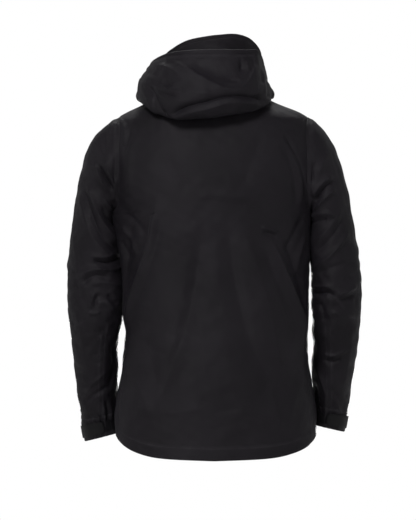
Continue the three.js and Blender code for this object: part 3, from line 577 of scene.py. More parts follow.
# ------------------------------------------------------------------ body panels
# Fold strokes in the back view's frame: the long drape lines that run from the armpits down the back, the soft
# vertical folds between them, and the short creases beside the armholes.
BACK_FOLDS = [
    ([(158, 190), (156, 207), (151, 234), (144, 262), (136, 286), (127, 311), (121, 332)], 7.5, 34, 7, 1.15),
    ([(152, 214), (146, 240), (137, 266), (128, 288)], -3.0, 8, 12, 1.5),
    ([(163, 204), (158, 240), (149, 272), (139, 300), (131, 326)], -2.6, 10, 12),
    ([(236, 212), (247, 240), (258, 272), (268, 306), (276, 345), (284, 392)], 3.0, 12, 22),
    ([(266, 229), (274, 245), (284, 270), (294, 295), (303, 320), (309, 350), (312, 368)], 7.0, 7, 26, 1.15),
    ([(262, 240), (272, 270), (283, 296), (292, 322), (298, 352)], -2.6, 9, 10),
    ([(260, 226.5), (268, 229.5), (279, 232)], 2.4, 5, 4, 1.3, 0.25),
    ([(262, 230.5), (269, 233), (278, 236)], -2.2, 3, 3.5, 1.3, 0.25),
    ([(203, 215), (198, 260), (192, 300), (180, 345), (163, 386), (150, 415)], -4.4, 22, 16),
    ([(226, 215), (231, 258), (238, 298), (250, 340), (267, 376), (276, 402)], -4.0, 16, 22),
    ([(186, 200), (200, 196), (222, 196), (250, 199), (262, 203)], 1.0, 12, 14),
    ([(183, 205), (200, 202), (225, 202), (252, 205)], -0.6, 12, 16),
    ([(126, 122), (123, 136), (121, 150)], 2.6, 7, 8),
    ([(131, 124), (129, 138), (127, 152)], -1.8, 6, 6),
    ([(136, 133), (131, 152), (129, 176), (131, 200)], 1.8, 9, 12),
    ([(286, 139), (297, 158), (302, 180), (303, 206)], 2.6, 9, 8),
    ([(280, 144), (290, 163), (295, 186), (296, 210)], -2.0, 9, 7),
    ([(121, 208), (128, 214), (138, 224), (146, 238)], -2.8, 7, 7),
    ([(119, 222), (126, 232), (133, 244), (137, 258)], 2.6, 6, 7),
    ([(120, 238), (125, 250), (129, 262)], -2.0, 5, 6),
    ([(304, 214), (298, 226), (291, 240), (286, 254)], -2.2, 7, 6),
    ([(306, 232), (302, 246), (298, 262), (297, 280)], 2.2, 6, 7),
    ([(160, 150), (176, 170), (190, 196)], -1.6, 14, 16),
    ([(262, 128), (256, 150), (246, 176), (240, 196)], -1.3, 16, 14),
    ([(120, 352), (128, 372), (140, 392), (150, 420)], 2.0, 12, 10),
    ([(308, 360), (300, 384), (292, 404), (286, 430)], 1.8, 10, 12),
    ([(134, 402), (160, 410), (190, 409), (214, 404)], 1.2, 12, 10),
    ([(146, 330), (152, 360), (158, 390)], -1.4, 12, 12),
    ([(268, 380), (276, 408), (280, 436)], 1.5, 10, 10),
    ([(196, 386), (206, 400), (222, 408), (244, 406)], -1.1, 12, 12),
    ([(282, 232), (294, 262), (303, 292), (309, 322)], -4.0, 9, 10),
    ([(134, 214), (128, 250), (123, 285), (119, 312)], -4.0, 10, 9),
    ([(283, 133), (292, 148), (299, 163), (304, 180), (306, 202)], -4.2, 4.5, 4, 1.3, 0.15),
]
# The front, seen from ahead: x in mm to the wearer's left, z in mm.
FRONT_FOLDS = [
    ([(150, -232), (118, -262), (84, -300), (60, -346)], 4.2, 10, 14),
    ([(158, -262), (128, -296), (98, -336), (76, -382)], -2.6, 9, 10),
    ([(165, -300), (140, -338), (116, -386), (100, -440)], 3.6, 9, 12),
    ([(48, -150), (44, -220), (52, -300), (46, -380)], 2.2, 16, 14),
    ([(30, -420), (36, -500), (30, -580), (38, -660)], 3.0, 14, 12),
    ([(92, -470), (80, -540), (86, -610), (74, -690)], 2.6, 14, 12),
    ([(62, -450), (56, -530), (62, -610)], -2.2, 12, 12),
    ([(24, -210), (60, -222), (96, -214)], 1.6, 12, 10),
    ([(22, -330), (58, -350), (92, -342)], -1.8, 14, 12),
    ([(120, -90), (96, -118), (70, -136)], 1.8, 12, 12),
    ([(150, -620), (120, -640), (84, -650)], 1.8, 12, 12),
]


def torso_shape(P, front):
    n = normals(P)
    U, V = px(P)
    if not front:
        h = strokes(U, V, BACK_FOLDS, 2.08)
        h += 0.55 * fbm(P, 150, 3, 2, (1, 0.6, 0.45)) + 0.22 * fbm(P, 46, 4, 2)
    else:
        X, Z = P[..., 0], P[..., 2]
        mir = [([(-x + 6, z - 9) for x, z in r[0]], r[1] * 0.9, *r[2:]) for r in FRONT_FOLDS]
        h = strokes(X, Z, FRONT_FOLDS, 1.0) + strokes(X, Z, mir, 1.0)
        h += 0.8 * fbm(P, 120, 7, 2, (1, 0.6, 0.6)) + 0.3 * fbm(P, 44, 8, 2)
    return h, n


def edge_fade(cu, cv, edges, width=26.0, least=0.0):
    f = np.ones_like(cu)
    d = {"u0": cu, "u1": cu[:, -1:] - cu, "v0": cv, "v1": cv[-1:] - cv}
    for e in edges:
        f *= least + (1 - least) * smooth(d[e] / width)
    return f


def pocket_calm(P):
    """0 beside a hand pocket's opening, 1 away from it."""
    out = np.ones(P.shape[:2])
    for lo_th, hi_th in ((-40.0, -47.0), (220.0, 227.0)):
        a = body_point(np.array(lo_th), np.array(-584.0))
        b = body_point(np.array(hi_th), np.array(-418.0))
        d = b - a
        t = np.clip(((P - a) @ d) / (d @ d), -0.1, 1.1)
        r = np.linalg.norm(P - (a + t[..., None] * d), axis=-1)
        out = out * smooth((r - 18) / 26)
    return out


def torso_panel(name, grid, nu, nv, *, front, node, edges, fade, grow, seam_edges, hem=True, seed=0, zip_edge=None):
    """grid(u, zeta) gives the smooth surface. It is relaxed as cloth on a coarse grid, then folded on a fine one."""
    u, z = np.meshgrid(np.linspace(0, 1, nu), np.linspace(-757, 14, nv))
    P = grid(u, z)
    _, cu, cv = edge_distance(P, [])
    h, n = torso_shape(P, front)
    f = edge_fade(cu, cv, fade, 30)
    cnu, cnv = max(12, nu // 3), max(24, nv // 3)
    uc, zc = np.meshgrid(np.linspace(0, 1, cnu), np.linspace(-757, 14, cnv))
    C = grid(uc, zc)
    _, ccu, ccv = edge_distance(C, [])
    hc, _ = torso_shape(C, front)
    fc = edge_fade(ccu, ccv, fade, 34)
    if front:
        f, fc = f * pocket_calm(P), fc * pocket_calm(C)
    noise_ = 0.8 * fbm(C, 60, 11 + seed, 3)
    low = smooth((-180 - C[..., 2]) / 200)
    R = relax(C, grow_u=grow[0] * (0.4 + 0.6 * low) * fc, grow_v=grow[1] * (0.35 + 0.65 * low) * fc, iters=110,
              out_cap=8, in_cap=3, pin=1 - smooth(fc * 1.4), start=(hc + noise_) * fc, gravity=0.03, bend=0.5)
    D = resample(R - C, nv, nu)
    P2 = P + D * 0.6 + n * (h * f * (1.15 if front else 1.5))[..., None]
    if hem:
        up = cv
        P2 = P2 + n * (0.9 * smooth(up / 4) * smooth((29 - up) / 4) - 0.5)[..., None] * 0.9
    sd, _, _ = edge_distance(P2, seam_edges, extra=[cv - 25.5] if hem else [])
    return P2, sd


def back_grid(u, z):
    l, r = edge_angle(1, False, z), 180 - edge_angle(-1, False, z)
    th = l + (r - l) * u
    return body_point(th, row_z(th, z))


def side_grid(side):
    mid = 0 if side > 0 else 180

    def g(u, z):
        half = curve(SIDE_BACK, z)
        th = mid + half * (2 * u - 1)
        return body_point(th, row_z(mid, z) + (hem_z(th) - hem_z(mid)) * smooth((-640 - z) / 117))
    return g


def front_grid(side):
    mid = 0 if side > 0 else 180

    def g(u, z):
        e = edge_angle(side, True, z)
        z0 = row_z(-90.0, z)
        A = curve(HALF_L if side > 0 else HALF_R, z0)
        at_zip = -90 + np.degrees(np.arcsin((9 / A) ** (curve(POWER, z0) / 2)))
        t = -e + (at_zip + e) * u
        th = t if side > 0 else 180 - t
        return body_point(th, row_z(th, z))
    return g


def ride(o, body, slot_name, *nodes):
    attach(o, body)
    if nodes:
        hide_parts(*nodes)
    return o


def bend(o, a, b, weight, slot_name, *nodes):
    """A cloth piece that crosses a joint, baked in place; the parts it stands for are hidden. a, b and weight are not
    used.
    """
    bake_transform(o)
    if nodes:
        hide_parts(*nodes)
    return o


P, sd = torso_panel("back", back_grid, 216, 290, front=False, node="back_panel", edges=[], fade=["u0", "u1", "v1"],
                    grow=(0.006, 0.010), seam_edges=["u0", "u1"], seed=1)
BACK_P = P
ride(cloth_piece("back_panel_cloth", P, SHELL, seam=sd, inner=LINING), "shell", "shell_fabric", "back_panel")
SIDES, FRONTS, CUFFS = {}, {}, {}
for nm, side in (("left", 1), ("right", -1)):
    g = side_grid(side)
    u, z = np.meshgrid(np.linspace(0, 1, 25), np.linspace(-757, -246, 140))
    P = g(u, z)
    n = normals(P)
    h = 1.2 * fbm(P, 70, 21, 3, (1, 1, 0.7)) * (np.sin(np.pi * u))
    P = P + n * h[..., None]
    sd, _, cv = edge_distance(P, ["u0", "u1"], [])
    sd = np.minimum(sd, np.abs(cv - 25.5))
    SIDES[side] = (P, n)
    ride(cloth_piece(nm + "_side_panel_cloth", P, SHELL, seam=sd, inner=LINING), "shell", "shell_fabric",
         nm + "_side_panel")
    P, sd = torso_panel("front", front_grid(side), 78, 200, front=True, node="", edges=[], fade=["u0", "u1", "v1"],
                        grow=(0.006, 0.010), seam_edges=["u0"], seed=5 + side)
    FRONTS[side] = (P, normals(P) * (-1 if side > 0 else 1))
    # the left front's grid runs against the angle on the other side, so its faces are turned there
    ride(cloth_piece(nm + "_front_panel_cloth", P, SHELL, seam=sd, inner=LINING, flip=side > 0), "shell",
         "shell_fabric", nm + "_front_panel")


# ------------------------------------------------------------------ sleeves
RINGS = {
    1: [[204, -243, 199.7, -47, 11, 76], [206, -243.5, 222.5, -61, 10, 75], [209, -246.5, 244.5, -81, 9, 73.5],
        [210, -254, 262, -112, 7, 71], [208.5, -267, 274.5, -150, 5, 69], [205.5, -286, 284, -187, 3, 67],
        [201, -308, 290, -229, 1, 65.5], [195.5, -337, 296.5, -277, -1, 64], [190.5, -368, 301.5, -327, -3, 63],
        [187, -402, 305, -377, -5, 63], [187, -434, 305, -422, -8, 62], [191, -468, 302, -464, -14, 59.5],
        [196.5, -501, 297.5, -505, -21, 56], [199.5, -535, 293, -543, -30, 53], [199.5, -568, 289, -580, -40, 51],
        [200, -603, 284.5, -620, -50, 49], [200, -639, 280, -657, -60, 47.5], [199.5, -672, 275, -692, -69, 46],
        [196, -703, 269.5, -722, -76, 45]],
    -1: [[199.4, -243, 194.7, -47, 11, 76], [201.2, -243.5, 215, -61, 10, 75], [203.5, -246.5, 234, -81, 9, 73.5],
         [204.5, -254, 252, -112, 7, 71], [203.5, -267, 265.5, -150, 5, 69], [201, -286, 276, -187, 3, 67],
         [198.5, -308, 284, -229, 1, 65.5], [198.5, -337, 293, -277, -1, 64], [200, -364, 300, -322, -3, 63],
         [202.5, -394, 305, -366, -5, 63], [203.5, -425, 307, -408, -8, 62], [204.5, -458, 306.5, -449, -14, 59.5],
         [204.5, -491, 303.5, -489, -21, 56], [204, -524, 298.5, -527, -30, 53], [203, -556, 293.5, -563, -40, 51],
         [203.5, -590, 288, -601, -50, 49], [205, -625, 282.5, -638, -60, 47.5], [205.5, -657, 277.5, -672, -69, 46],
         [204, -686, 272, -702, -76, 45]],
}
RING_T = {k: [table([[i, r[c]] for i, r in enumerate(v)]) for c in range(6)] for k, v in RINGS.items()}


def sleeve_point(side, phi, s):
    ix, iz, ox, oz, yc, d = [curve(t, s) for t in RING_T[side]]
    c, sn = -np.cos(np.radians(phi)), np.sin(np.radians(phi))
    x = (ix + ox) / 2 + c * (ox - ix) / 2
    z = (iz + oz) / 2 + c * (oz - iz) / 2
    y = yc + d * sn
    w = np.clip(1 - s / 2.5, 0, 1)
    zz = np.clip(-146 + 99 * c, ARMPIT, ARM_TOP)
    T = HALF_L if side > 0 else HALF_R
    A, n, cy = curve(T, zz), curve(POWER, zz), curve(MID_Y, zz)
    ax = ARM_X[side]
    k = np.where(A > ax, np.clip(1 - (ax / A) ** n, 0, None) ** (1 / n), 0)
    hole = cy + np.where(sn >= 0, curve(BACK_Y, zz) - cy, -(cy - zip_y(zz))) * k
    y = y + (hole - y) * smooth(w)
    # the seam's own end tucks under the body's edge
    tuck = np.clip(-s / 0.12, 0, 1)
    x = x - tuck * 5.0 - np.clip(1 - s / 0.35, 0, 1) * (x - ax) * (1 - tuck * 0) * 0.85
    x = x + shoulder_rise(z, np.full(z.shape, float(side))) * smooth((2.2 - s) / 1.8)
    return np.stack([side * x, y, z], -1)


# Creases of the sleeves as the back view shows them.
SLEEVE_FOLDS = {
    1: [
        # from the point of the shoulder down into the armpit
        ([(99, 165), (103, 174), (108, 182), (114, 191)], -6.5, 3.4, 3.4, 1.25, 0.2),
        ([(94, 160), (98, 172), (103, 183), (109, 193)], 4.2, 4, 7, 1.3, 0.2),
        ([(105, 160), (108, 170), (112, 179), (116, 186)], 3.4, 4, 4, 1.3, 0.2),
        ([(117, 150), (116.5, 162), (116, 172), (114, 184)], -3.0, 4, 5, 1.4, 0.25),
        ([(114, 198), (116, 206), (117.5, 214), (119, 226)], -5.0, 3.4, 4, 1.4, 0.2),
        ([(83, 184), (88, 202), (96, 224), (105, 240), (117, 253)], -4.8, 5, 6, 1.3, 0.16),
        ([(88, 184), (94, 202), (102, 220), (110, 234), (120, 247)], 4.8, 5, 6, 1.25, 0.16),
        ([(79, 192), (84, 212), (91, 232), (100, 246), (111, 257)], 3.6, 5, 9, 1.35, 0.16),
        ([(101, 204), (106, 214), (112, 224), (118, 234)], -3.6, 4, 4, 1.3, 0.25),
        ([(104, 198), (110, 208), (116, 218)], 3.0, 4, 4, 1.3, 0.25),
        ([(110, 224), (114, 236), (119, 248), (123, 256)], 4.0, 3.6, 4, 1.25, 0.22),
        ([(93, 260), (101, 262), (110, 262), (118, 258), (125, 252)], -6.2, 3.6, 4.4, 1.2, 0.16),
        ([(88, 256), (98, 256.5), (108, 256), (116, 251)], 3.4, 4, 4, 1.3, 0.25),
        ([(95, 267), (104, 268.5), (113, 269), (123, 266)], 3.8, 4, 4, 1.25, 0.22),
        ([(80, 279), (86, 272.5), (94, 269), (102, 269), (109, 272)], 4.4, 4, 4, 1.2, 0.2),
        ([(82, 284), (90, 277), (99, 275), (110, 278)], -4.4, 4, 5, 1.3, 0.2),
        ([(92, 285), (100, 282), (112, 283), (122, 287)], 3.2, 4, 5, 1.3, 0.25),
        ([(96, 290), (92, 300), (91.5, 310)], 3.2, 3.4, 4, 1.25, 0.22),
        ([(100, 292), (96, 301), (97, 309)], -2.8, 3.4, 3.4, 1.3, 0.25),
        ([(87, 311), (94, 313), (102, 311)], 2.8, 3.6, 3.6, 1.3, 0.25),
        ([(108, 292), (112, 300), (118, 306)], -3.0, 5, 5, 1.4),
        ([(74, 300), (80, 322), (84, 348), (88, 372)], 2.2, 8, 9, 1.4),
        ([(112, 338), (114, 356), (113, 374), (108, 392)], -3.2, 6, 6, 1.4),
        ([(84, 392), (92, 384), (100, 377), (108, 370)], 2.8, 5, 6, 1.3),
        ([(82, 404), (92, 396), (102, 390), (111, 384)], -2.4, 5, 5, 1.3),
        ([(103, 398), (104, 410), (104, 424), (103, 438)], 1.8, 3, 3, 1.4),
        ([(109, 396), (111, 410), (111, 424), (110, 436)], 1.8, 3, 3, 1.4),
        ([(106, 398), (107.5, 412), (107.5, 428)], -1.8, 2.6, 2.6, 1.4),
        ([(90, 130), (86, 150), (84, 172)], 1.4, 10, 9),
        ([(106, 128), (105, 144), (107, 158)], -2.0, 8, 8),
        ([(72, 232), (76, 252), (78, 270)], 2.0, 7, 7, 1.4), ([(70, 262), (76, 280), (80, 300)], -1.6, 7, 7, 1.4),
    ],
    -1: [
        ([(336, 181), (329, 184), (322, 191), (314, 202)], -5.4, 3.6, 3.6, 1.25, 0.2),
        ([(333, 176), (325, 180), (317, 188), (311, 198)], 4.4, 4, 5, 1.3, 0.2),
        ([(337, 188), (330, 193), (322, 201), (313, 212)], 4.6, 4, 6, 1.25, 0.2),
        ([(316, 160), (313, 172), (311, 186)], -3.0, 5, 5, 1.4),
        ([(326, 150), (322, 164), (318, 176)], 2.6, 7, 7, 1.4),
        ([(310, 218), (318, 214), (328, 213.5), (337, 218)], 4.0, 3.6, 4.4, 1.25, 0.2),
        ([(310, 224), (318, 220.5), (328, 220)], -4.6, 3.6, 3.6, 1.25, 0.22),
        ([(342, 206), (336, 218), (325, 232), (313, 246)], 3.4, 6, 6, 1.35),
        ([(345, 214), (337, 229), (325, 243), (313, 256)], -3.2, 6, 5, 1.35),
        ([(350, 226), (340, 244), (327, 258), (313, 268)], 3.6, 6, 6, 1.35),
        ([(356, 262), (343, 264), (328, 268), (315, 276)], -2.6, 6, 6, 1.35),
        ([(310, 286), (318, 286.5), (327, 286), (334, 291)], 4.4, 3.6, 4.2, 1.25, 0.2),
        ([(312, 293), (320, 293), (328, 293), (334, 297)], -4.2, 3.6, 4, 1.25, 0.2),
        ([(336, 294), (343, 293), (350, 289), (357, 285)], 3.8, 4, 4, 1.25, 0.22),
        ([(338, 300), (346, 299), (355, 294)], -3.2, 4, 4, 1.3, 0.22),
        ([(327, 318), (332, 313), (338, 313), (342, 319)], 2.6, 3.4, 3.4, 1.3, 0.25),
        ([(318, 300), (323, 310), (324, 322)], -3.0, 5, 5, 1.35),
        ([(322, 352), (331, 355.5), (340, 353), (348, 346)], 3.4, 4, 4, 1.25, 0.22),
        ([(322, 359), (332, 361.5), (342, 358)], -3.2, 4, 4, 1.3, 0.22),
        ([(352, 318), (350, 345), (346, 372), (340, 398)], 2.0, 8, 8, 1.4),
        ([(316, 366), (322, 382), (326, 396), (326, 412)], 3.2, 5, 5, 1.3),
        ([(314, 380), (317, 394), (318, 408)], -2.8, 5, 5, 1.3),
        ([(334, 396), (338, 408), (339, 424)], 2.0, 4, 4, 1.4),
        ([(300, 122), (312, 130), (322, 142)], 1.4, 9, 9),
        ([(330, 150), (336, 166), (340, 184)], -1.6, 8, 8),
        ([(352, 238), (354, 256), (357, 274)], 1.8, 7, 7, 1.4),
    ],
}
# Creases all round, in mm along the ring from the inner side and mm down the sleeve.
AROUND_FOLDS = [
    ([(190, 232), (230, 246), (275, 244), (320, 230)], 4.4, 8, 9, 1.5), ([(185, 256), (230, 268), (280, 266), (330, 250)], -3.2, 8, 8),
    ([(205, 286), (245, 292), (290, 286), (330, 274)], 4.2, 8, 8, 1.5), ([(215, 306), (250, 312), (290, 306)], -2.8, 8, 8),
    ([(210, 330), (255, 330), (300, 318)], 3.0, 8, 8), ([(235, 150), (262, 190), (278, 226)], 2.6, 9, 9),
    ([(310, 120), (338, 150), (350, 196)], 2.8, 8, 8), ([(290, 130), (312, 168), (322, 206)], -2.2, 8, 8),
    ([(230, 390), (262, 400), (300, 396)], 2.4, 8, 8), ([(250, 430), (280, 424), (310, 432)], 1.8, 8, 8),
    ([(345, 268), (362, 290), (380, 300)], 2.6, 7, 7), ([(345, 300), (365, 316), (385, 322)], -2.0, 7, 7),
    ([(10, 300), (30, 308), (46, 300)], 2.2, 7, 7),
]


def sleeve_heights(side, P, phi, s):
    U, V = px(P)
    back = smooth((np.sin(np.radians(phi)) + 0.30) / 0.5)
    h = strokes(U, V, SLEEVE_FOLDS[side], 2.08) * back
    inner = np.exp(-((((phi + 180) % 360 - 180) / 38) ** 2)) * smooth((9.5 - s) / 2)
    h = np.where(h < 0, h * (1 - 0.75 * inner), h)
    girth = phi / 360 * 385
    down = s * 28.0
    h = h + strokes(girth, down, AROUND_FOLDS, 1.0) * (1 - 0.7 * back)
    h += 0.7 * fbm(P, 85, 31 if side > 0 else 37, 3, (1, 1, 1.3)) * smooth(s / 1.5)
    # the inner side lies against the body above the elbow; the shoulder runs on from the yoke without a step
    near = np.exp(-((((phi + 180) % 360 - 180 - 14) / 42) ** 2))
    h += 3.2 * near * smooth((s - 1.2) / 1.5) * smooth(((10.6 if side > 0 else 7.6) - s) / 1.5)
    top = smooth((-np.cos(np.radians(phi)) - 0.25) / 0.6)
    h += (0.0 if side > 0 else 1.2) * top * np.exp(-(((s - 1.6) / 1.5) ** 2))
    return h


SLEEVE_GRID = {}
for nm, side in (("left", 1), ("right", -1)):
    nu, nv = ((168, 300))
    phi, s = np.meshgrid(np.arange(nu) * 360 / nu, np.linspace(-0.12, 16.62, nv))
    P = sleeve_point(side, phi, s)
    n = normals(P, True) * side
    h = sleeve_heights(side, P, phi, s) * smooth((s + 0.12) / 0.9)
    cnu, cnv = 44, 76
    pc, sc = np.meshgrid(np.arange(cnu) * 360 / cnu, np.linspace(-0.12, 16.62, cnv))
    C = sleeve_point(side, pc, sc)
    hc = sleeve_heights(side, C, pc, sc) * smooth((sc + 0.12) / 0.9)
    bend_zone = np.exp(-(((sc - 9.8) / 3.2) ** 2)) + 0.8 * np.exp(-(((sc - 3.0) / 2.2) ** 2)) * smooth(
        (np.cos(np.radians(pc)) + 0.6) / 1.2) + 0.5 * np.exp(-(((sc - 15.5) / 1.4) ** 2))
    pin = 1 - smooth((sc + 0.12) / 1.0) * smooth((16.62 - sc) / 0.5)
    start = hc + 0.9 * fbm(C, 42, 51 + side, 3)
    Cn = C if side > 0 else C[:, ::-1]
    st = start if side > 0 else start[:, ::-1]
    gz = 0.004 + 0.030 * bend_zone
    gz_, pin_ = (gz, pin) if side > 0 else (gz[:, ::-1], pin[:, ::-1])
    R = relax(Cn, grow_u=0.004 + gz_ * 0.12, grow_v=gz_, iters=130, wrap=True, out_cap=6.5, in_cap=3.5, pin=pin_,
              start=st, gravity=0.02, bend=0.35)
    D = (R - Cn) if side > 0 else (R - Cn)[:, ::-1]
    P = P + resample(D, nv, nu, True) * 0.7 + n * (h * 1.1)[..., None]
    SLEEVE_GRID[nm] = (P, phi, s)
    _, cu, cv = edge_distance(P, [])
    seamlines = []
    seamlines.append(np.where((s > 11.2) & (s < 16.7), (phi - (64 + 4 * (s - 11.8))) / 360 * 340, 50))
    seamlines.append(np.where((s > 11.8) & (s < 16.7), (phi - (76 + 4 * (s - 11.8))) / 360 * 340, 50))
    arch = 11.4 - 1.5 * np.exp(-(((phi - 74) / 34.0) ** 2))
    seamlines.append(np.where((phi > 20) & (phi < 160), (s - arch) * 28, 50))
    sd = np.full(P.shape[:2], 50.0)
    for x in seamlines:
        sd = np.minimum(sd, np.abs(x))
    split = int(np.argmin(np.abs(s[:, 0] - 6.0)))
    PN = normals(P, True) * side
    for part, a, b, bodies, nodes in (
        ("shoulder", 0, split + 1, ("shell", nm + "_arm"), (nm + "_sleeve_head", nm + "_upper_sleeve")),
        ("forearm", split, nv, (nm + "_arm", nm + "_forearm"), (nm + "_elbow_panel", nm + "_lower_sleeve")),
    ):
        o = cloth_piece(nm + "_sleeve_" + part, P[a:b], SHELL, wrap=True, seam=sd[a:b], flip=side < 0, inner=LINING,
                        n=PN[a:b])
        w = smooth(s[a:b] / 5.2) if part == "shoulder" else smooth((s[a:b] - 8.0) / 4.2)
        bend(o, bodies[0], bodies[1], w, "shell_fabric", *nodes)
    # cuff band, a doubled hem with two stitch lines
    cn = 26
    ph2, s2 = np.meshgrid(np.arange(nu) * 360 / nu, np.linspace(16.56, 18.0, cn))
    Q = sleeve_point(side, ph2, s2)
    nq = normals(Q, True) * side
    t = (s2 - 16.56) / 1.44
    gather = 1.5 * np.sin(np.radians(ph2) * 1.0 * 21 + 1.2 * np.sin(np.radians(ph2) * 3)) * np.exp(-(((ph2 - 74) / 42) ** 2))
    gather += 0.5 * fbm(Q, 26, 61 + side, 2)
    base = resample((P[-1:] - sleeve_point(side, phi[-1:], s[-1:])).repeat(2, 0), cn, nu, True)
    hh = (0.9 * smooth(t / 0.12) * smooth((1 - t) / 0.06 + 0.3) + gather * (0.35 + 0.65 * (1 - t)))
    Q = Q + nq * hh[..., None] + base * (1 - smooth(t * 2.2))[..., None]
    _, cu, cv = edge_distance(Q, [])
    sd2 = np.minimum(np.abs(cv - 2.0), np.minimum(np.abs(cv[-1:] - cv - 3.0), 50))
    CUFFS[nm] = (Q, nq)
    o = cloth_piece(nm + "_cuff", Q, SHELL, wrap=True, seam=sd2, flip=side < 0, thick=1.6, inner=LINING)
    ride(o, nm + "_forearm", "shell_fabric", nm + "_cuff_band")

# ------------------------------------------------------------------ collar and hood
COLLAR_PTS = None


def collar_top(th):
    c, s = np.cos(np.radians(th)), np.sin(np.radians(th))
    x = 2 + 101 * np.sign(c) * np.abs(c) ** 0.95
    y = np.where(s >= 0, -18 + 84 * np.abs(s) ** 0.95, -18 - 86 * np.abs(s) ** 0.95)
    d = from_back(th)
    z = np.where(c >= 0, curve(COLLAR_L, d), curve(COLLAR_R, d))
    return np.stack([x, y, z], -1)


def collar_outer(th, v):
    a = body_point(th, neck_z(th))
    a = a + np.stack([0 * th, 0 * th, 0 * th + 0.8], -1)
    b = collar_top(th)
    d = from_back(th)
    k = np.where(d < 150, 1.0, (180 - d) / 30)
    bulge = 5 * np.sin(np.pi * v) * k
    out = np.stack([np.cos(np.radians(th)), np.sin(np.radians(th)), 0 * th], -1)
    return a + (b - a) * v[..., None] - out * bulge[..., None]


HOOD_FOLD = [[-32, 104, -64, -1], [-16, 130, -38, -7], [0, 149, -4, -15], [15, 147, 48, -17], [30, 134, 90, -30],
             [60, 87, 136, -50], [90, 14, 147, -50], [120, -62, 135, -39], [150, -104, 94, -23], [165, -115, 52, -9],
             [180, -119, -4, -4], [198, -110, -44, -1], [212, -97, -62, 2]]
HOOD_FULL = [[-32, 112, -70, 12], [0, 156, -6, 22], [30, 148, 84, 18], [60, 92, 156, 0], [90, 14, 174, -4],
             [120, -64, 158, 0], [150, -112, 96, 8], [180, -125, -4, 10], [212, -102, -67, 8]]
HOOD_RIM = [[-32, 103, -62, 26], [0, 132, -8, 62], [30, 104, 72, 82], [60, 62, 112, 89], [90, 6, 122, 91],
            [120, -54, 112, 91], [150, -100, 66, 88], [180, -112, -8, 50], [212, -96, -60, 20]]
HOOD_T = {k: [table([[r[0], r[c]] for r in rows]) for c in (1, 2, 3)]
          for k, rows in {"fold": HOOD_FOLD, "full": HOOD_FULL, "rim": HOOD_RIM}.items()}


def hood_row(kind, th):
    return np.stack([curve(t, th) for t in HOOD_T[kind]], -1)


def hood_seam(th):
    p = body_point(th, neck_z(th))
    a = np.radians(th)
    return p + np.stack([5.5 * np.cos(a), 5.5 * np.sin(a), 5 + 0 * th], -1)


def hood_point(th, u):
    """u 0 at the neck seam, 1 at the fold under the pouch, 2 at its fullest, 3 at the rim."""
    K = [hood_seam(th), hood_row("fold", th), hood_row("full", th), hood_row("rim", th)]
    T = []
    for i in range(4):
        a, b = K[max(i - 1, 0)], K[min(i + 1, 3)]
        T.append((b - a) / (min(i + 1, 3) - max(i - 1, 0)))
    i = np.clip(np.floor(u).astype(int), 0, 2)
    f = (u - i)[..., None]
    h00, h10 = 2 * f**3 - 3 * f**2 + 1, f**3 - 2 * f**2 + f
    h01, h11 = -2 * f**3 + 3 * f**2, f**3 - f**2
    P = np.zeros(th.shape + (3,))
    for k in range(3):
        m = (i == k)[..., None]
        P += m * (h00 * K[k] + h10 * T[k] + h01 * K[k + 1] + h11 * T[k + 1])
    # the right side of the pouch is drawn in under the rim
    P[..., 0] += 8.0 * smooth((-P[..., 0] - 86) / 22) * smooth((P[..., 2] + 25) / 60)
    return P


# ------------------------------------------------------------------ hood and collar pieces
HOOD_FOLDS = [
    ([(172, 59), (185, 69), (199, 77), (214, 85), (228, 90), (239, 89.5), (248, 82), (253, 71), (256, 60)], 5.0, 4.6, 21, 1.3, 0.12),
    ([(190, 62), (206, 69), (224, 76), (238, 74), (247, 62)], -5.2, 17, 13, 1.8, 0.16),
    ([(239, 55), (241, 62), (243, 72)], -4.0, 4, 4, 1.4, 0.25), ([(228, 79), (234, 81.5), (240, 80)], -2.6, 4, 4, 1.4, 0.3),
    ([(246, 58), (248, 66), (248, 74)], 3.0, 4, 4, 1.5, 0.3),
    ([(170, 119), (185, 109.5), (205, 104), (222, 98.5), (235, 97), (249, 98), (267, 101)], -9.0, 8, 3.6, 1.2, 0.1),
    ([(164, 122), (186, 114), (208, 109.5), (228, 104), (246, 103.5), (264, 106)], 4.5, 5, 10, 1.4, 0.15),
    ([(148, 84), (156, 98), (161, 111), (168, 120)], -7.0, 4, 7, 1.2, 0.18),
    ([(142, 88), (149, 101), (154, 112), (162, 119)], 3.4, 6, 6, 1.4, 0.2),
    ([(155, 90), (165, 95), (180, 99)], -3.4, 3.5, 3.5, 1.2, 0.3), ([(158, 86), (168, 90.5), (183, 94)], 2.4, 4, 4, 1.5, 0.3),
    ([(163, 79), (167, 83), (171, 88)], -4.2, 9, 9, 2.0, 0.3), ([(152, 66), (166, 68), (178, 76), (188, 86)], 3.0, 9, 8, 1.4),
    ([(181, 89), (199, 94), (216, 94.5)], 2.6, 8, 7, 1.4), ([(262, 82), (259, 93), (250, 97)], 3.0, 6, 7, 1.4),
    ([(267, 78), (268.5, 90), (269, 100)], -5.0, 5, 4, 1.2, 0.2), ([(262, 68), (263.5, 84), (265, 98)], 2.6, 6, 5, 1.4),
    ([(176, 62), (190, 62), (206, 62)], 1.4, 6, 7), ([(150, 74), (146, 84), (144, 94)], 1.8, 7, 7),
]

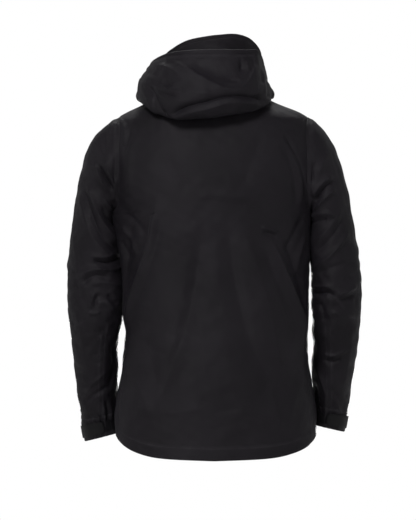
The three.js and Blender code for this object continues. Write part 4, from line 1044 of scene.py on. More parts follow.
nu, nv = 244, 124
th, u = np.meshgrid(np.linspace(-32, 212, nu), np.linspace(1.0, 2.985, nv))
P = hood_point(th, u)
n = normals(P)
U, V = px(P)
back = smooth((np.sin(np.radians(th)) - 0.05) / 0.35)
h = strokes(U, V, HOOD_FOLDS, 2.08) * back
X, Z = P[..., 0], P[..., 2]
h += (1 - back) * 2.2 * fbm(P, 60, 71, 3) + 0.5 * fbm(P, 34, 72, 2)
fade = smooth((u - 1.0) / 0.22) * smooth((2.93 - u) / 0.25) * smooth((th + 32) / 14) * smooth((212 - th) / 14)
tc, uc = np.meshgrid(np.linspace(-32, 212, 64), np.linspace(1.0, 2.985, 30))
C = hood_point(tc, uc)
fc = smooth((uc - 1.0) / 0.3) * smooth((3.02 - uc) / 0.3) * smooth((tc + 32) / 20) * smooth((212 - tc) / 20)
R = relax(C, grow_u=0.006 * fc, grow_v=0.005 * fc, iters=110, out_cap=4.0, in_cap=3.5, pin=1 - fc,
          start=0.9 * fbm(C, 60, 73, 3) * fc, gravity=0.02, bend=0.4)
P = P + resample(R - C, nv, nu) * 0.8
P = P + n * (h * fade)[..., None]
HOOD_P, HOOD_N = P, n
sd = np.minimum(np.abs(th - 45), np.abs(th - 135)) * 2.7
_, cu, cv = edge_distance(P, [])
sd = np.minimum(sd, np.abs(cv[-1:] - cv - 13))
ride(cloth_piece("hood_cloth", P, SHELL, seam=sd, inner=LINING), "hood", "shell_fabric", "hood_left_panel",
     "hood_centre_panel", "hood_right_panel")

# the brim's binding, rolled over the rim
prof = [(2.93, 0.5), (2.955, 0.95), (2.98, 1.1), (3.0, 0.8), (3.007, 0.0), (3.0, -0.9), (2.96, -1.6), (2.88, -1.7), (2.82, -1.6)]
nu = 160
tb = np.linspace(-32, 212, nu)
rows = []
for uu, off in prof:
    q = hood_point(tb, np.full(nu, min(uu, 3.0)))
    q2 = hood_point(tb, np.full(nu, min(uu, 3.0) - 0.03))
    up = q - q2
    up /= np.linalg.norm(up, axis=1, keepdims=True)
    a = np.gradient(q, axis=0)
    nn = np.cross(a, up)
    nn /= np.linalg.norm(nn, axis=1, keepdims=True)
    rows.append(q + nn * off + up * max(uu - 3.0, 0) * 150)
P = resample(np.array(rows), 22, nu)
ride(cloth_piece("hood_brim_binding", P, SHELL, thick=0.8), "hood", "shell_fabric", "hood_brim")
BRIM_LINE = (P[2], normals(P)[2])

# the skirt that joins the hood to the neck seam
nu, nv = 160, 22
th, u = np.meshgrid(np.linspace(-32, 212, nu), np.linspace(0.0, 1.0, nv))
P = hood_point(th, u)
n = normals(P)
P = P + n * (0.9 * fbm(P, 40, 75, 2) * np.sin(np.pi * u))[..., None]
sd, _, _ = edge_distance(P, ["v0"])
bend(cloth_piece("hood_skirt", P, SHELL, seam=sd, inner=LINING), "shell", "hood", smooth(u), "shell_fabric",
     "hood_neck_panel")

# collar and its lining
nu, nv = 170, 34
th, v = np.meshgrid(np.linspace(-84.8, 264.8, nu), np.linspace(0, 1, nv))
P = collar_outer(th, v)
n = normals(P)
hh = 0.8 * fbm(P, 48, 81, 3) * np.sin(np.pi * v) * smooth((th + 84.8) / 12) * smooth((264.8 - th) / 12)
P = P + n * hh[..., None]
_, cu, cv = edge_distance(P, [])
sd = np.minimum(np.abs(cv[-1:] - cv - 8.0), np.abs(cv - 1.0))
ride(cloth_piece("collar_cloth", P, SHELL, seam=sd, thick=1.1, inner=LINING), "shell", "shell_fabric", "collar_shell")
COLLAR_P, COLLAR_N = P, n
th, v = np.meshgrid(np.linspace(-84.6, 264.6, nu), np.linspace(0.02, 0.97, 22))
P = collar_outer(th, v)
n = normals(P)
P = P - n * (3.1 + 0.5 * fbm(P, 40, 83, 2) * np.sin(np.pi * v))[..., None]
sd, _, _ = edge_distance(P, ["v0", "v1"])
ride(cloth_piece("collar_lining_cloth", P, LINING, thick=0.8, seam=sd), "shell", "lining_fabric", "collar_lining")


# ------------------------------------------------------------------ small builders
def merge(parts):
    V, F, k = [], [], 0
    for v, f in parts:
        V.append(np.asarray(v, float).reshape(-1, 3))
        F += [[int(i) + k for i in q] for q in f]
        k += len(V[-1])
    return np.concatenate(V), F


def loft(loops, closed=False):
    """Loops of N points each, joined in order. Closed joins the last to the first; else both ends are capped."""
    L = np.asarray(loops, float)
    K, N = L.shape[:2]
    F = []
    for k in range(K if closed else K - 1):
        a, b = k * N, ((k + 1) % K) * N
        for i in range(N):
            j = (i + 1) % N
            F.append([a + i, a + j, b + j, b + i])
    if not closed:
        F.append(list(range(N))[::-1])
        F.append([(K - 1) * N + i for i in range(N)])
    return L.reshape(-1, 3), F


class Frame:
    def __init__(self, origin, ex, ey, ez):
        self.o = np.asarray(origin, float)
        self.m = np.array([ex, ey, ez], float)

    def __call__(self, p):
        return self.o + np.asarray(p, float) @ self.m

    def local(self, p):
        return (np.asarray(p, float) - self.o) @ self.m.T

    def box(self, node):
        q = self.local(points(node))
        return q.min(0), q.max(0)


def points(node):
    return np.array([v.co for v in frame["nodes"][node].data.vertices], float) * 1000


def plate(outline, y0, y1, chamfer=0.35):
    """A plate in x and z from y0 to y1, its edges eased."""
    o = np.asarray(outline, float)
    c = o.mean(0)
    r = np.linalg.norm(o - c, axis=1, keepdims=True)
    s = c + (o - c) * (1 - chamfer / r)
    at = lambda q, y: np.stack([q[:, 0], np.full(len(q), y), q[:, 1]], -1)
    return loft([at(s, y0), at(o, y0 + chamfer), at(o, y1 - chamfer), at(s, y1)])


def ring_plate(outer, inner, y0, y1, chamfer=0.3):
    o, i = np.asarray(outer, float), np.asarray(inner, float)
    co, ci = o.mean(0), i.mean(0)
    so = co + (o - co) * (1 - chamfer / np.linalg.norm(o - co, axis=1, keepdims=True))
    si = ci + (i - ci) * (1 + chamfer / np.linalg.norm(i - ci, axis=1, keepdims=True))
    at = lambda q, y: np.stack([q[:, 0], np.full(len(q), y), q[:, 1]], -1)
    return loft([at(so, y0), at(o, y0 + chamfer), at(o, y1 - chamfer), at(so, y1), at(si, y1), at(i, y1 - chamfer),
                 at(i, y0 + chamfer), at(si, y0)], closed=True)


def rounded(w, hgt, r, n=6, cx=0.0, cz=0.0, top=None):
    """A rounded rectangle's outline, w by hgt; top is another width at the upper end."""
    pts = []
    wt = w if top is None else top
    for sx, sz, a0 in ((1, -1, -90), (1, 1, 0), (-1, 1, 90), (-1, -1, 180)):
        ww = wt if sz > 0 else w
        for k in range(n + 1):
            a = math.radians(a0 + 90 * k / n)
            pts.append((cx + sx * (ww / 2 - r) + r * math.cos(a), cz + sz * (hgt / 2 - r) + r * math.sin(a)))
    return pts


def block(lo, hi, r=0.4):
    lo, hi = np.asarray(lo, float), np.asarray(hi, float)
    w, hgt = hi[0] - lo[0], hi[2] - lo[2]
    r2 = min(r * 2, w / 2.05, hgt / 2.05)
    return plate(rounded(w, hgt, r2, 4, (lo[0] + hi[0]) / 2, (lo[2] + hi[2]) / 2), lo[1], hi[1],
                 min(r, (hi[1] - lo[1]) / 2.2))


def solid(name, F, parts, mat, body, slot_name, *nodes, smooth_=True):
    V, faces = merge(parts)
    o = mesh_object(name, F(V) if F is not None else V, faces, mat, smooth=smooth_)
    det = 1.0 if F is None else float(np.linalg.det(F.m))
    if det < 0:
        o.data.flip_normals()
    if smooth_:
        o.data.set_sharp_from_angle(angle=math.radians(42))
    return ride(o, body, slot_name, *nodes)


def tube(path, r, n=10, closed=False):
    C = np.asarray(path, float)
    T = np.gradient(C, axis=0)
    T /= np.linalg.norm(T, axis=1, keepdims=True)
    ref = np.array([0.12, 0.31, 0.94])
    A = np.cross(T, ref)
    A /= np.linalg.norm(A, axis=1, keepdims=True)
    Bn = np.cross(T, A)
    a = np.arange(n) * 2 * np.pi / n
    L = C[:, None] + r * (A[:, None] * np.cos(a)[None, :, None] + Bn[:, None] * np.sin(a)[None, :, None])
    return loft(L, closed)


def stitch_parts(path, nrm, length=2.9, gap=1.3, width=0.55, height=0.38, lift=0.05):
    """Thread dashes along a path lying on cloth whose outward normals are nrm."""
    C = np.asarray(path, float)
    d = np.concatenate([[0], np.cumsum(np.linalg.norm(np.diff(C, axis=0), axis=1))])
    starts = np.arange(1.0, d[-1] - length, length + gap)
    at = lambda s: np.stack([np.interp(s, d, C[:, k]) for k in range(3)], -1)
    nn = np.stack([np.interp(starts + length / 2, d, nrm[:, k]) for k in range(3)], -1)
    nn /= np.linalg.norm(nn, axis=1, keepdims=True)
    a, b = at(starts), at(starts + length)
    t = b - a
    t /= np.linalg.norm(t, axis=1, keepdims=True)
    s = np.cross(t, nn)
    V, F = [], []
    m = len(starts)
    for e, (p, dip) in enumerate(((a, 0.0), (a + t * length * 0.3, 1.0), (b - t * length * 0.3, 1.0), (b, 0.0))):
        for sx, sy in ((-1, 0), (-0.6, 1), (0.6, 1), (1, 0)):
            V.append(p + s * sx * width / 2 * (0.7 + 0.3 * dip) + nn * (lift + sy * height * (0.35 + 0.65 * dip) - 0.12))
    V = np.array(V)                     # 16, m, 3
    V = np.swapaxes(V, 0, 1).reshape(-1, 3)
    cell = []
    for e in range(3):
        for q in range(4):
            q2 = (q + 1) % 4
            cell.append([e * 4 + q, e * 4 + q2, (e + 1) * 4 + q2, (e + 1) * 4 + q])
    cell += [[3, 2, 1, 0], [12, 13, 14, 15]]
    F = [[i + 16 * k for i in c] for k in range(m) for c in cell]
    return V, F


def level_line(P, n, depth, key="v0"):
    """The points a given distance in from one edge of a grid, and the normals there."""
    _, cu, cv = edge_distance(P, [])
    out, no = [], []
    if key in ("v0", "v1"):
        d = cv if key == "v0" else cv[-1:] - cv
        for i in range(P.shape[1]):
            k = np.argsort(d[:, i])
            out.append([np.interp(depth, d[k, i], P[k, i, q]) for q in range(3)])
            no.append([np.interp(depth, d[k, i], n[k, i, q]) for q in range(3)])
    else:
        d = cu if key == "u0" else cu[:, -1:] - cu
        for j in range(P.shape[0]):
            k = np.argsort(d[j])
            out.append([np.interp(depth, d[j, k], P[j, k, q]) for q in range(3)])
            no.append([np.interp(depth, d[j, k], n[j, k, q]) for q in range(3)])
    return np.array(out), np.array(no)


# ------------------------------------------------------------------ main zip
k = 1.001468
ZF = Frame((0, -146.493, -706), (1, 0, 0), (0, 1 / k, -0.0542 / k), (0, 0.0542 / k, 1 / k))
ZL = 785.15
SLIDER_AT = ZL - 34
for nm, sx in (("left", 1), ("right", -1)):
    zz = np.linspace(16, ZL - 2, 130)
    xx = np.array([0.4, 0.7, 1.3, 2.4, 4.0, 5.6, 6.6, 7.4, 8.3])
    yy = np.array([0.75, 0.5, 0.35, 0.42, 0.55, 0.6, 0.6, 0.6, 0.6])
    X, Z = np.meshgrid(xx * sx, zz)
    Y = np.broadcast_to(yy, X.shape) + 0.10 * np.sin(Z / 23.0 + sx) * (np.abs(X) > 2)
    P = ZF(np.stack([X, Y, Z], -1))
    sd = np.broadcast_to(np.abs(xx - 6.0) + 0.3, X.shape)
    ride(cloth_piece(f"main_zip_tape_{nm}_cloth", P, TAPE, thick=0.8, seam=sd, flip=sx < 0), "shell", "zip_tape",
         f"main_zip_tape_{nm}")
    pitch = 3.0
    parts = []
    for q, z0 in enumerate(np.arange(17.5 + (0 if sx > 0 else pitch / 2), SLIDER_AT + 26, pitch)):
        parts.append(block((-0.5 if sx > 0 else -3.1, 1.95, z0), (3.1 if sx > 0 else 0.5, 4.05, z0 + 1.25), 0.25))
    solid(f"main_zip_{nm}_elements", ZF, parts, MOULDED, "shell", "moulded_plastic", f"main_zip_teeth_{nm}")

lo, hi = ZF.box("main_zip_retainer_box")
cz = (lo[2] + hi[2]) / 2
solid("zip_retainer_box_moulding", ZF, [
    block(lo, hi, 0.7), block((lo[0] + 1.0, lo[1] - 0.25, lo[2] + 1.4), (hi[0] - 1.0, lo[1] + 0.4, lo[2] + 3.0), 0.2),
    block((lo[0] + 1.0, lo[1] - 0.25, hi[2] - 3.0), (hi[0] - 1.0, lo[1] + 0.4, hi[2] - 1.6), 0.2)],
    MOULDED, "shell", "moulded_plastic", "main_zip_retainer_box")
lo, hi = ZF.box("main_zip_insertion_pin")
solid("zip_pin_moulding", ZF, [block(lo, hi, 0.45)], METAL, "shell", "coated_metal", "main_zip_insertion_pin")


def slider_parts(lo, hi, front=2.0, back=1.4):
    """A slider's front plate with a waist, its back plate, the wedge between them and the bridge over the front."""
    w, c = hi[0] - lo[0], (hi[0] + lo[0]) / 2
    h_, zc = hi[2] - lo[2], (hi[2] + lo[2]) / 2
    y_bridge = lo[1]
    y_front = lo[1] + (hi[1] - lo[1]) * 0.285
    parts = [plate(rounded(w * 0.80, h_, 1.5, 5, c, zc, top=w), y_front, y_front + front, 0.4),
             plate(rounded(w * 0.78, h_ * 0.96, 1.4, 5, c, zc, top=w * 0.96), hi[1] - back, hi[1], 0.35),
             block((c - 0.75, y_front + front - 0.2, hi[2] - h_ * 0.34), (c + 0.75, hi[1] - back + 0.2, hi[2] - h_ * 0.08), 0.2)]
    arch = []
    for t in np.linspace(0, math.pi, 15):
        zc2 = zc + h_ * 0.36 * math.cos(t)
        yc2 = y_front + 0.5 - (y_front + 0.5 - y_bridge - 0.55) * math.sin(t) ** 0.55
        dz, dy = -math.sin(t), -math.cos(t)
        ring = []
        for a in np.linspace(0, 2 * math.pi, 9)[:-1]:
            ring.append((c + 1.25 * math.cos(a), yc2 + 0.5 * math.sin(a) * abs(math.sin(t)), zc2 + 0.5 * math.sin(a) * math.cos(t)))
        arch.append(ring)
    parts.append(loft(arch))
    return parts


def pull_parts(lo, hi):
    """A pull: an eyed tab with a grip panel and raised bars."""
    w, c = hi[0] - lo[0], (hi[0] + lo[0]) / 2
    h_, zc = hi[2] - lo[2], (hi[2] + lo[2]) / 2
    N = 7
    parts = [ring_plate(rounded(w * 0.98, h_ * 0.36, w * 0.36, N, c, hi[2] - h_ * 0.18, top=w * 0.86),
                        rounded(w * 0.42, h_ * 0.19, w * 0.2, N, c, hi[2] - h_ * 0.17), lo[1], hi[1], 0.25),
             plate(rounded(w * 0.86, h_ * 0.66, w * 0.30, N, c, lo[2] + h_ * 0.33, top=w), lo[1] + 0.02, hi[1] - 0.02, 0.4)]
    t = hi[1] - lo[1]
    for q in range(7):
        z = lo[2] + h_ * (0.10 + 0.075 * q)
        parts.append(block((c - w * 0.30, lo[1] - 0.0, z), (c + w * 0.30, hi[1] + 0.0, z + h_ * 0.032), 0.25))
    return parts


lo, hi = ZF.box("main_zip_slider")
solid("main_slider_casting", ZF, slider_parts(lo, hi), METAL, "main_slider", "coated_metal", "main_zip_slider")
lo, hi = ZF.box("main_zip_pull")
solid("main_pull_moulding", ZF, pull_parts(lo, hi), MOULDED, "main_pull", "moulded_plastic", "main_zip_pull")

# the garage over the top end of the zip, and the storm flap behind it
lo, hi = ZF.box("zip_garage")
xs, zs = np.linspace(lo[0], hi[0], 30), np.linspace(lo[2], hi[2], 20)
X, Z = np.meshgrid(xs, zs)
e = np.minimum(1 - np.abs(2 * (X - lo[0]) / (hi[0] - lo[0]) - 1), 2 * (hi[2] - Z) / (hi[2] - lo[2]))
Y = lo[1] + 0.3 + (hi[1] - lo[1] - 0.6) * (1 - smooth(e / 0.55)) ** 1.4
P = ZF(np.stack([X, Y, Z], -1))
sd = np.minimum(e * 9, 50)
ride(cloth_piece("zip_garage_cloth", P, SHELL, thick=1.0, seam=np.abs(sd - 2.4)), "shell", "shell_fabric", "zip_garage")
lo, hi = ZF.box("storm_flap")
X, Z = np.meshgrid(np.linspace(lo[0], hi[0], 20), np.linspace(lo[2], hi[2], 160))
Y = lo[1] + 0.1 + 0.25 * np.sin(Z / 31.0) * np.cos(X / 7.0)
sd = np.minimum(X - lo[0], hi[0] - X)
ride(cloth_piece("storm_flap_cloth", ZF(np.stack([X, Y, Z], -1)), LINING, thick=0.9, seam=np.abs(sd - 2.0)), "shell",
     "lining_fabric", "storm_flap")


# ------------------------------------------------------------------ hem
def inset(th, z, depth):
    a = body_point(th + 0.2, z) - body_point(th - 0.2, z)
    b = body_point(th, z + 1) - body_point(th, z - 1)
    n_ = np.cross(a, b)
    n_ /= np.linalg.norm(n_, axis=-1, keepdims=True)
    return body_point(th, z) - n_ * np.asarray(depth)[..., None]


rows = [(0.9, 0.25), (1.6, -0.1), (4.0, 0.2), (6.6, 1.4), (7.6, 4.0), (7.6, 12.0), (7.4, 20.0), (6.2, 25.0), (3.4, 27.2), (1.5, 28.0)]
tt = np.linspace(-83.4, 263.4, 220)
P = np.array([inset(tt, hem_z(tt) + dz, np.full(tt.shape, d)) for d, dz in rows])
P = resample(P, 26, 220)
ride(cloth_piece("hem_facing_cloth", P, LINING, thick=0.7, flip=True), "shell", "lining_fabric", "hem_facing")
tt = np.linspace(-68, 248, 260)
solid("hem_drawcord_braid", None, [tube(inset(tt, hem_z(tt) + 11, np.full(tt.shape, 4.9)), 1.4)], CORD, "shell", "cord",
      "hem_drawcord")

# ------------------------------------------------------------------ cord locks
joints = {j["name"]: j for j in frame["joints"]}


def lathe(profile, axis, base, n=40, flute=None):
    a = np.asarray(axis, float)
    x = np.cross(a, (0.31, 0.93, 0.1))
    x /= np.linalg.norm(x)
    y = np.cross(a, x)
    loops = []
    for r, h_ in profile:
        ph = np.arange(n) * 2 * np.pi / n
        rr = r * (1 - (flute or 0) * (0.5 + 0.5 * np.cos(10 * ph)) * (2.8 < h_ < 11)) + 0 * ph
        loops.append(base + a * h_ + rr[:, None] * (x * np.cos(ph)[:, None] + y * np.sin(ph)[:, None]))
    return loft(loops)


BARREL = [(0.4, 0), (4.8, 0.02), (5.8, 0.5), (6.3, 1.5), (6.4, 2.6), (6.05, 3.1), (6.05, 3.8), (6.4, 4.3), (6.4, 5.6),
          (6.05, 6.1), (6.05, 6.8), (6.4, 7.3), (6.4, 11.4), (6.2, 12.8), (5.5, 13.8), (4.7, 14.0), (4.35, 13.6),
          (4.3, 9.0), (4.3, 5.2), (0.4, 5.0)]
BUTTON = [(0.3, 9.05), (3.7, 9.05), (3.8, 9.4), (3.8, 16.5), (3.5, 17.4), (2.8, 17.95), (1.6, 17.8), (0.3, 17.6)]
for nm in ("hem_left", "hem_right", "hood_left", "hood_right"):
    ax = -np.array(joints[nm + "_button_press"]["axis"], float)
    ax /= np.linalg.norm(ax)
    v = points(nm + "_cord_lock")
    t = v @ ax
    ring = v[(t > t.min() + 0.9) & (t < t.max() - 0.9)]
    perp = ring - np.outer(ring @ ax, ax)
    c = (perp.min(0) + perp.max(0)) / 2
    c = c - ax * (c @ ax)
    base = c + ax * t.min()
    solid(nm + "_lock_barrel", None, [lathe(BARREL, ax, base, flute=0.035)], MOULDED, "shell", "moulded_plastic",
          nm + "_cord_lock")
    solid(nm + "_lock_plunger", None, [lathe(BUTTON, ax, base)], MOULDED, nm + "_button", "moulded_plastic",
          nm + "_lock_button")
    # the webbing tab that ties the lock to the cloth behind it
    mid = base + ax * 6.5
    away = np.array([mid[0], mid[1] + 15, 0.0])
    away /= np.linalg.norm(away)
    away = away - ax * (away @ ax)
    away /= np.linalg.norm(away)
    side_ = np.cross(ax, away)
    reach = 9.0 if nm.startswith("hem") else 7.2
    prof = []
    for a in np.radians(np.linspace(-150, 150, 26)):
        prof.append(mid + away * 6.95 * math.cos(a) + side_ * 6.95 * math.sin(a))
    head = mid - away * reach + side_ * -4.2
    tail = mid - away * reach + side_ * 4.2
    path = np.array([head, mid - away * (6.6) - side_ * 3.6] + prof + [mid - away * (6.6) + side_ * 3.6, tail])
    path = resample(path[:, None, :].repeat(2, 1), 60, 2)[:, 0]
    wdt = np.linspace(-2.6, 2.6, 7)
    P = path[:, None, :] + ax[None, None, :] * wdt[None, :, None]
    ride(cloth_piece(nm + "_lock_tab", P, WEBBING, thick=0.6), "shell", "webbing")

# ------------------------------------------------------------------ hand pockets
for nm, side in (("left", 1), ("right", -1)):
    v = points(nm + "_pocket_zip_tape")
    c = (v.max(0) + v.min(0)) / 2
    w_, vec = np.linalg.eigh(np.cov((v - v.mean(0)).T))
    ez = vec[:, 2] * np.sign(vec[2, 2])
    ey = vec[:, 0] * (-1 if vec[1, 0] < 0 else 1)          # into the body
    ex = np.cross(ey, ez)
    PF = Frame(v.mean(0), ex, ey, ez)
    lo, hi = PF.box(nm + "_pocket_zip_tape")
    PF = Frame(PF([(lo[0] + hi[0]) / 2, (lo[1] + hi[1]) / 2, (lo[2] + hi[2]) / 2]), ex, ey, ez)
    lo, hi = PF.box(nm + "_pocket_zip_tape")
    L = hi[2] - lo[2]
    for tag, sx in (("a", 1), ("b", -1)):
        xx = np.array([0.28, 0.45, 0.8, 1.6, 2.6, 3.4, 4.4]) * sx
        zz = np.linspace(lo[2], hi[2], 50)
        X, Z = np.meshgrid(xx, zz)
        Y = lo[1] + np.broadcast_to(np.array([0.35, 0.15, 0.02, 0.05, 0.12, 0.15, 0.15]), X.shape)
        sd = np.broadcast_to(np.abs(np.abs(xx) - 3.2) + 0.2, X.shape)
        o = cloth_piece(f"{nm}_pocket_tape_{tag}", PF(np.stack([X, Y, Z], -1)), TAPE, thick=0.7, seam=sd, flip=sx < 0)
        ride(o, "shell", "zip_tape", *([f"{nm}_pocket_zip_tape"] if tag == "a" else []))
        # the welt along each side of the opening, and a garage at each end of it
        xx = np.array([4.0, 4.15, 4.6, 6.0, 8.2, 9.8, 10.8, 11.4, 11.8]) * sx
        zz = np.linspace(lo[2] - 9, hi[2] + 9, 60)
        X, Z = np.meshgrid(xx, zz)
        Y = lo[1] + np.broadcast_to(np.array([-0.35, -0.75, -0.95, -0.95, -0.8, -0.6, -0.2, 0.5, 1.4]), X.shape)
        Y = Y + 1.6 * smooth((np.abs(Z) - (L / 2 + 5)) / 4.5)
        sd = np.broadcast_to(np.minimum(np.abs(np.abs(xx) - 5.4), np.abs(np.abs(xx) - 10.4)) + 0.2, X.shape)
        ride(cloth_piece(f"{nm}_pocket_welt_{tag}", PF(np.stack([X, Y, Z], -1)), SHELL, thick=1.0, seam=sd, flip=sx < 0),
             "shell", "shell_fabric")
    for tag, end in (("top", 1), ("bottom", -1)):
        z0 = end * (L / 2)
        X, Z = np.meshgrid(np.linspace(-4.6, 4.6, 17), z0 + end * np.linspace(-3.5, 9, 16))
        Y = lo[1] - 1.05 + 2.2 * smooth((np.abs(Z) - (L / 2 + 5)) / 4.5) - 0.5 * (1 - (X / 4.6) ** 2)
        sd = np.minimum(np.abs(np.abs(Z) - (L / 2 - 2.0)), 50)
        ride(cloth_piece(f"{nm}_pocket_{tag}_garage", PF(np.stack([X, Y, Z], -1)), SHELL, thick=0.9, seam=sd,
                         flip=end < 0), "shell", "shell_fabric")
    lo_t, hi_t = PF.box(nm + "_pocket_zip_teeth")
    parts = []
    for q, z0 in enumerate(np.arange(lo_t[2] + 0.6, hi_t[2] - 2.0, 2.4)):
        cx = 0.9 if q % 2 else -0.9
        parts.append(block((cx - 1.5, lo_t[1] + 0.1, z0), (cx + 1.5, hi_t[1] - 0.1, z0 + 1.5), 0.25))
    solid(nm + "_pocket_elements", PF, parts, MOULDED, "shell", "moulded_plastic", nm + "_pocket_zip_teeth")
    a, b = PF.box(nm + "_pocket_zip_slider")
    solid(nm + "_pocket_slider_casting", PF, slider_parts(a, b, 1.2, 0.9), METAL, nm + "_pocket_slider", "coated_metal",
          nm + "_pocket_zip_slider")
    a, b = PF.box(nm + "_pocket_zip_pull")
    solid(nm + "_pocket_pull_moulding", PF, pull_parts(a, b), MOULDED, nm + "_pocket_pull", "moulded_plastic",
          nm + "_pocket_zip_pull")
    # the pocket bag inside
    t0, t1 = (-31, -74) if side > 0 else (180 + 31, 180 + 74)
    aa, bb = np.meshgrid(np.linspace(-1, 1, 40), np.linspace(-1, 1, 46))
    ra = aa * np.sqrt(np.clip(1 - 0.12 * bb**6, 0, 1))
    rb = bb * np.sqrt(np.clip(1 - 0.12 * aa**6, 0, 1))
    TH = (t0 + t1) / 2 + (t1 - t0) / 2 * ra
    Z = (-606 - 402) / 2 + (606 - 402) / 2 * rb
    P = inset(TH, Z, np.full(TH.shape, 11.0))
    P = P + normals(P)[..., :] * (0.5 * fbm(P, 30, 91, 2))[..., None]
    sd, _, _ = edge_distance(P, ["u0", "u1", "v0", "v1"])
    o = cloth_piece(nm + "_pocket_bag_cloth", P, LINING, thick=0.8, seam=np.abs(sd - 5.0))
    ride(o, "shell", "lining_fabric", nm + "_pocket_bag")

# ------------------------------------------------------------------ cuff tabs
for nm, side in (("left", 1), ("right", -1)):
    P0, ph0, s0 = SLEEVE_GRID[nm]

    def lifted(ph, s_, lift):
        q = sleeve_point(side, ph, s_)
        a = sleeve_point(side, ph + 0.5, s_) - sleeve_point(side, ph - 0.5, s_)
        b = sleeve_point(side, ph, s_ + 0.02) - sleeve_point(side, ph, s_ - 0.02)
        n_ = np.cross(a, b) * side
        n_ /= np.linalg.norm(n_, axis=-1, keepdims=True)
        return q + n_ * np.asarray(lift)[..., None]

    def patch(name, pa, pb, sa, sb, lift, thick, mat, body, slot_name, node, r=0.35, nose=0.0, ribs=False):
        a, b = np.meshgrid(np.linspace(0, 1, 64), np.linspace(-1, 1, 24))
        ends = np.minimum(a, 1 - a) * (pb - pa) / 360 * 250
        roundoff = np.sqrt(np.clip(1 - (1 - np.clip(ends / 6.0, 0, 1)) ** 2, 0, 1))
        half = (sb - sa) / 2 * (1 - r * (1 - roundoff))
        if nose:
            half = half * (1 - nose * smooth((0.30 - a) / 0.30))
        ph = pa + (pb - pa) * a
        s_ = (sa + sb) / 2 + b * half
        up = np.asarray(lift) + 0 * a
        edge = (1 - np.abs(b)) * half * 28
        up = up + thick - 0.35 * (1 - smooth(edge / 1.2)) - 0.35 * (1 - smooth(ends / 1.2))
        if ribs:
            up = up + 0.28 * smooth((edge - 3.0) / 0.8) * smooth((ends - 5) / 2) * (a < 0.30) * (
                0.5 + 0.5 * np.sin(a * (pb - pa) / 360 * 250 / 2.6 * 2 * np.pi))
            up = up - 0.22 * (np.exp(-(((edge - 2.2) / 0.5) ** 2)))
        P = lifted(ph, s_, up)
        sd = np.abs(np.minimum(edge, ends) - 2.4)
        o = cloth_piece(name, P, mat, thick=thick, seam=sd, flip=side < 0)
        return ride(o, body, slot_name, *([node] if node else []))

    patch(nm + "_cuff_loop_cloth", 40, 150, 16.95, 17.7, 0.9, 0.7, VELCRO, nm + "_forearm", "hook_and_loop",
          nm + "_cuff_loop_patch")
    patch(nm + "_cuff_tab_moulding", 82, 200, 16.9, 17.75, 2.3, 1.2, MOULDED, nm + "_tab", "moulded_plastic",
          nm + "_cuff_tab", nose=0.12, ribs=True)
    patch(nm + "_cuff_hook_cloth", 88, 128, 16.98, 17.66, 1.65, 0.6, VELCRO, nm + "_tab", "hook_and_loop",
          nm + "_cuff_hook_patch")
    # the sewn pad that holds the tab's fixed end
    patch(nm + "_cuff_tab_anchor", 192, 208, 16.93, 17.72, 0.2, 2.9, SHELL, nm + "_forearm", "shell_fabric", None)

# ------------------------------------------------------------------ hang loop
lo, hi = np.array(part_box("hang_loop")) * 1000
a = np.linspace(0, np.pi, 44)
mx, y0 = (lo[0] + hi[0]) / 2, (lo[1] + hi[1]) / 2
rx, rz = (hi[0] - lo[0]) / 2 - 1.8, (hi[2] - lo[2]) - 1.9
path = np.stack([mx + rx * np.sign(np.cos(a)) * np.abs(np.cos(a)) ** 0.7, np.full(a.shape, y0), lo[2] + rz * np.sin(a) ** 0.6], -1)
t = np.gradient(path, axis=0)
t /= np.linalg.norm(t, axis=1, keepdims=True)
perp = np.cross(t, (0, 1, 0))
P = path[:, None, :] + perp[:, None, :] * np.linspace(-1.7, 1.7, 7)[None, :, None] + np.array([0, -0.8, 0])
ride(cloth_piece("hang_loop_webbing", P, WEBBING, thick=1.5, flip=True), "shell", "webbing", "hang_loop")

# ------------------------------------------------------------------ stitching
parts = []
P = BACK_P
n = normals(P)
for depth in (25.0,):
    q, m = level_line(P, n, depth)
    parts.append(stitch_parts(q[2:-2], m[2:-2]))
for key in ("u0", "u1"):
    q, m = level_line(P[8:], n[8:], 3.2, key)
    parts.append(stitch_parts(q, m))
for side in (1, -1):
    P, n = FRONTS[side]
    q, m = level_line(P, n, 25.0)
    parts.append(stitch_parts(q[2:-2], m[2:-2]))
    q, m = level_line(P, n, 3.4, "u1")
    parts.append(stitch_parts(q[2:-2], m[2:-2]))
    P, n = SIDES[side]
    q, m = level_line(P, n, 25.0)
    parts.append(stitch_parts(q[1:-1], m[1:-1]))
q, m = level_line(COLLAR_P, COLLAR_N, 8.0, "v1")
parts.append(stitch_parts(q[2:-2], m[2:-2]))
solid("shell_topstitch", None, parts, THREAD, "shell", "shell_fabric")
parts = []
q, m = level_line(HOOD_P, HOOD_N, 14.0, "v1")
parts.append(stitch_parts(q[2:-2], m[2:-2]))
for deg in (45, 135):
    for off in (-1, 1):
        i = (deg + 32) / 244 * (HOOD_P.shape[1] - 1) + off * 1.05
        i0, f = int(i), i - int(i)
        q = HOOD_P[4:-8, i0] * (1 - f) + HOOD_P[4:-8, i0 + 1] * f
        parts.append(stitch_parts(q, HOOD_N[4:-8, i0]))
solid("hood_topstitch", None, parts, THREAD, "hood", "shell_fabric")
for nm, side in (("left", 1), ("right", -1)):
    P, n = CUFFS[nm]
    Pw, nw = np.concatenate([P, P[:, :1]], 1), np.concatenate([n, n[:, :1]], 1)
    parts = []
    for depth, key in ((3.2, "v1"), (2.2, "v0")):
        q, m = level_line(Pw, nw, depth, key)
        parts.append(stitch_parts(q, m))
    solid(nm + "_cuff_topstitch", None, parts, THREAD, nm + "_forearm", "shell_fabric")

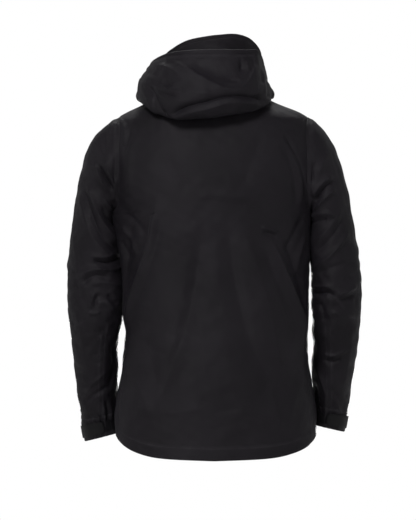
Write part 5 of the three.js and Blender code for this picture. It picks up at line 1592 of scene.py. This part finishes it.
# ------------------------------------------------------------------ the cut of each panel
# Each panel is a sheet: its flat width, length and area, measured along its own grid.
HELD = {"back_panel_cloth": ("hung", ["collar_cloth"]), "hood_cloth": ("folded", ["hood_skirt", "back_panel_cloth"]),
        "hood_skirt": ("folded", ["back_panel_cloth"]), "hood_brim_binding": ("folded", ["hood_cloth"]),
        "collar_cloth": ("stretched", ["back_panel_cloth"]), "collar_lining_cloth": ("stretched", ["collar_cloth"]),
        "hem_facing_cloth": ("stretched", ["back_panel_cloth"]), "storm_flap_cloth": ("hung", ["collar_lining_cloth"]),
        "zip_garage_cloth": ("folded", ["collar_cloth"])}
for nm in ("left", "right"):
    HELD[nm + "_front_panel_cloth"] = ("hung", ["collar_cloth"])
    HELD[nm + "_side_panel_cloth"] = ("hung", ["back_panel_cloth", nm + "_front_panel_cloth"])
    HELD[nm + "_sleeve_shoulder"] = ("hung", ["back_panel_cloth", nm + "_front_panel_cloth"])
    HELD[nm + "_sleeve_forearm"] = ("hung", [nm + "_sleeve_shoulder"])
    HELD[nm + "_cuff"] = ("gathered", [nm + "_sleeve_forearm"])
    HELD[nm + "_pocket_bag_cloth"] = ("hung", [nm + "_front_panel_cloth"])
    HELD[nm + "_cuff_loop_cloth"] = ("stretched", [nm + "_cuff"])
    HELD[nm + "_cuff_hook_cloth"] = ("stretched", [nm + "_cuff_tab_moulding"])
for name, (held, on) in HELD.items():
    o, P, wrap = CUTS[name]
    Q = np.concatenate([P, P[:, :1]], 1) if wrap else P
    du, dv = np.diff(Q, axis=1), np.diff(Q, axis=0)
    w = np.linalg.norm(du, axis=-1).sum(1).max() / 1000
    l_ = np.linalg.norm(dv, axis=-1).sum(0).max() / 1000
    a = np.linalg.norm(np.cross(du[:-1], dv[:, :-1]), axis=-1).sum() / 1e6
    w, l_ = round(float(w) + 0.0005, 3), round(float(l_) + 0.0005, 3)

# ------------------------------------------------------------------ floor
bpy.ops.mesh.primitive_plane_add(size=5, location=(0, 0, -1.45))
floor = bpy.context.object
floor.name = "floor"
floor.data.materials.append(FLOOR)
